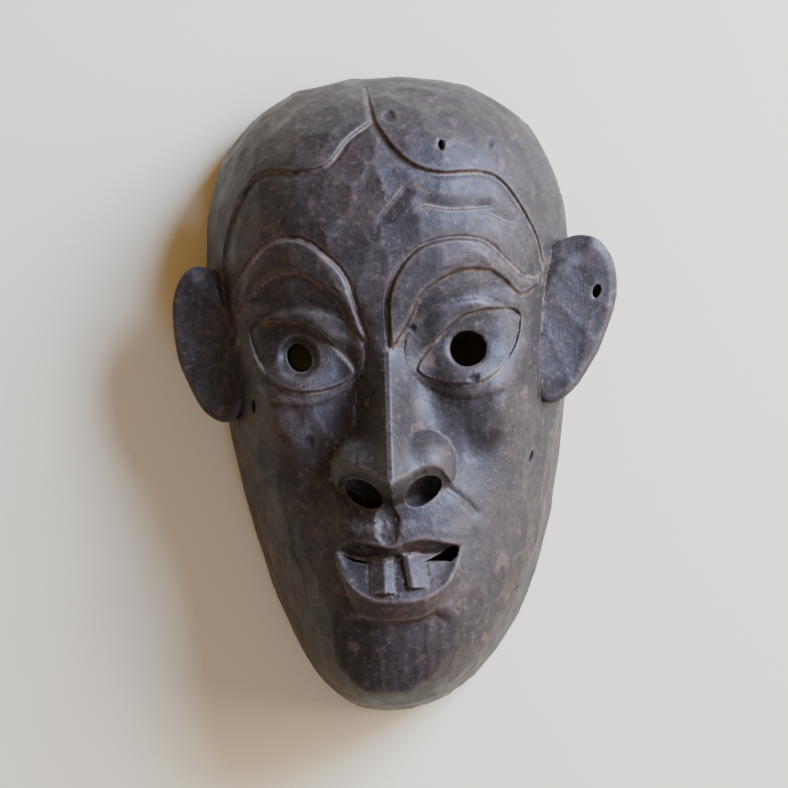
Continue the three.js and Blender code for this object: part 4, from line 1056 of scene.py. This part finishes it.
def cut_facets(piece, wood):
    tree = chisel_tree()
    change = piece.modifiers.new("chisel_facets", "NODES")
    change.node_group = tree
    values = {
        "Facet Size": FACET_SIZE * MM, "Facet Depth": FACET_DEPTH * MM, "Facet Tilt": FACET_TILT,
        "Wood": wood,
    }
    for socket in tree.interface.items_tree:
        if socket.name in values:
            change[socket.identifier] = values[socket.name]
    bake(piece)


def neighbour_mean(values, edges, degree):
    """Mean of the values over the points that share an edge with each point."""
    total = np.bincount(edges[:, 0], values[edges[:, 1]], len(values))
    total += np.bincount(edges[:, 1], values[edges[:, 0]], len(values))
    return total / degree


def mark_age(piece):
    """Dust lies in hollows and along the cut lines; raised edges are rubbed."""
    mesh = piece.data
    count = len(mesh.vertices)
    positions = read_vectors(mesh.vertices, "co")
    normals = read_vectors(mesh.vertex_normals, "vector")
    edges = np.zeros(len(mesh.edges) * 2, int)
    mesh.edges.foreach_get("vertices", edges)
    edges = edges.reshape(-1, 2)
    degree = np.maximum(np.bincount(edges.ravel(), minlength=count), 1)
    means = np.stack([neighbour_mean(positions[:, k], edges, degree) for k in range(3)], 1)
    away = means - positions
    size = np.maximum(np.linalg.norm(positions[edges[:, 0]] - positions[edges[:, 1]], axis=1), TINY)
    local = (np.bincount(edges[:, 0], size, count) + np.bincount(edges[:, 1], size, count)) / degree
    bend = (away * normals).sum(1) / local ** 2
    bend = 0.5 * bend + 0.5 * neighbour_mean(bend, edges, degree)
    carved = np.zeros(count)
    mesh.attributes["carved_line"].data.foreach_get("value", carved)
    on_lines = DUST_OFF_LINES + (1 - DUST_OFF_LINES) * carved
    store(mesh, "dust", np.clip(bend / DUST_BEND - DUST_START, 0, 1) * on_lines)
    store(mesh, "wear", np.clip(-bend / WEAR_BEND, 0, 1))


def patinated_wood():
    """Old carved wood with a handled dark patina: brown and grey, with dusty cuts, rubbed edges and painted
    shade in the holes and pits.
    """
    wood = bpy.data.materials.new("patinated_carved_wood")
    wood.use_nodes = True
    tree = wood.node_tree
    shader = tree.nodes["Principled BSDF"]
    build = Tree(tree)
    place = build.add("ShaderNodeTexCoord").outputs["Object"]
    along_grain = build.add("ShaderNodeMapping", {"Vector": place, "Scale": GRAIN_STRETCH}).outputs["Vector"]
    patterns = {}
    colour = to_linear(WOOD_COLOUR)
    for coat in PATINA:
        pattern = build.add("ShaderNodeTexNoise", {
            "Vector": along_grain if coat.get("stretched") else place,
            "Scale": 1 / (coat["size"] * MM),
            "Detail": coat["detail"],
            "Roughness": COAT_ROUGHNESS,
        }).outputs["Fac"]
        share = build.add("ShaderNodeMapRange", {
            "Value": pattern, "From Min": coat["low"], "From Max": coat["high"], "To Max": coat["share"],
        }, interpolation_type="SMOOTHSTEP").outputs["Result"]
        if "where" in coat:
            mark = build.add("ShaderNodeAttribute", attribute_name=coat["where"]).outputs["Fac"]
            share = build.add("ShaderNodeMath", {0: share, 1: mark}, operation="MULTIPLY").outputs[0]
        layers = {"Factor": share, 6: colour, 7: to_linear(coat["colour"])}
        colour = build.add("ShaderNodeMix", layers, data_type="RGBA").outputs[2]
        patterns[coat["name"]] = pattern
    tree.links.new(colour, shader.inputs["Base Color"])
    shader.inputs["Specular IOR Level"].default_value = SHEEN_LEVEL
    sheen = build.add(
        "ShaderNodeTexNoise", {"Vector": place, "Scale": 1 / (SHEEN_SIZE * MM), "Detail": SHEEN_DETAIL}
    )
    rough = build.add("ShaderNodeMapRange", {
        "Value": sheen.outputs["Fac"], "From Min": SHEEN_RANGE[0], "From Max": SHEEN_RANGE[1],
        "To Min": ROUGHNESS[0], "To Max": ROUGHNESS[1],
    }).outputs["Result"]
    tree.links.new(rough, shader.inputs["Roughness"])
    pores = build.add(
        "ShaderNodeTexNoise", {"Vector": place, "Scale": 1 / (PORE_SIZE * MM), "Detail": PORE_DETAIL}
    )
    patterns["pores"] = pores.outputs["Fac"]
    height = 0.0
    for name, share in BUMP_SHARES.items():
        weighed = {0: patterns[name], 1: share, 2: height}
        height = build.add("ShaderNodeMath", weighed, operation="MULTIPLY_ADD").outputs[0]
    bump = build.add(
        "ShaderNodeBump", {"Height": height, "Strength": BUMP_STRENGTH, "Distance": BUMP_HEIGHT * MM}
    )
    tree.links.new(bump.outputs["Normal"], shader.inputs["Normal"])
    return wood


mask = carved_mask()
mark_facets(mask)
mark_lines(mask)
paint_hole_shade(mask)
box_middle = settle(mask)
cut_facets(mask, patinated_wood())
mark_age(mask)
mask.data.shade_smooth()
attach(mask, "root")
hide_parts("carved_mask")
studio()
aim_camera(box_middle)
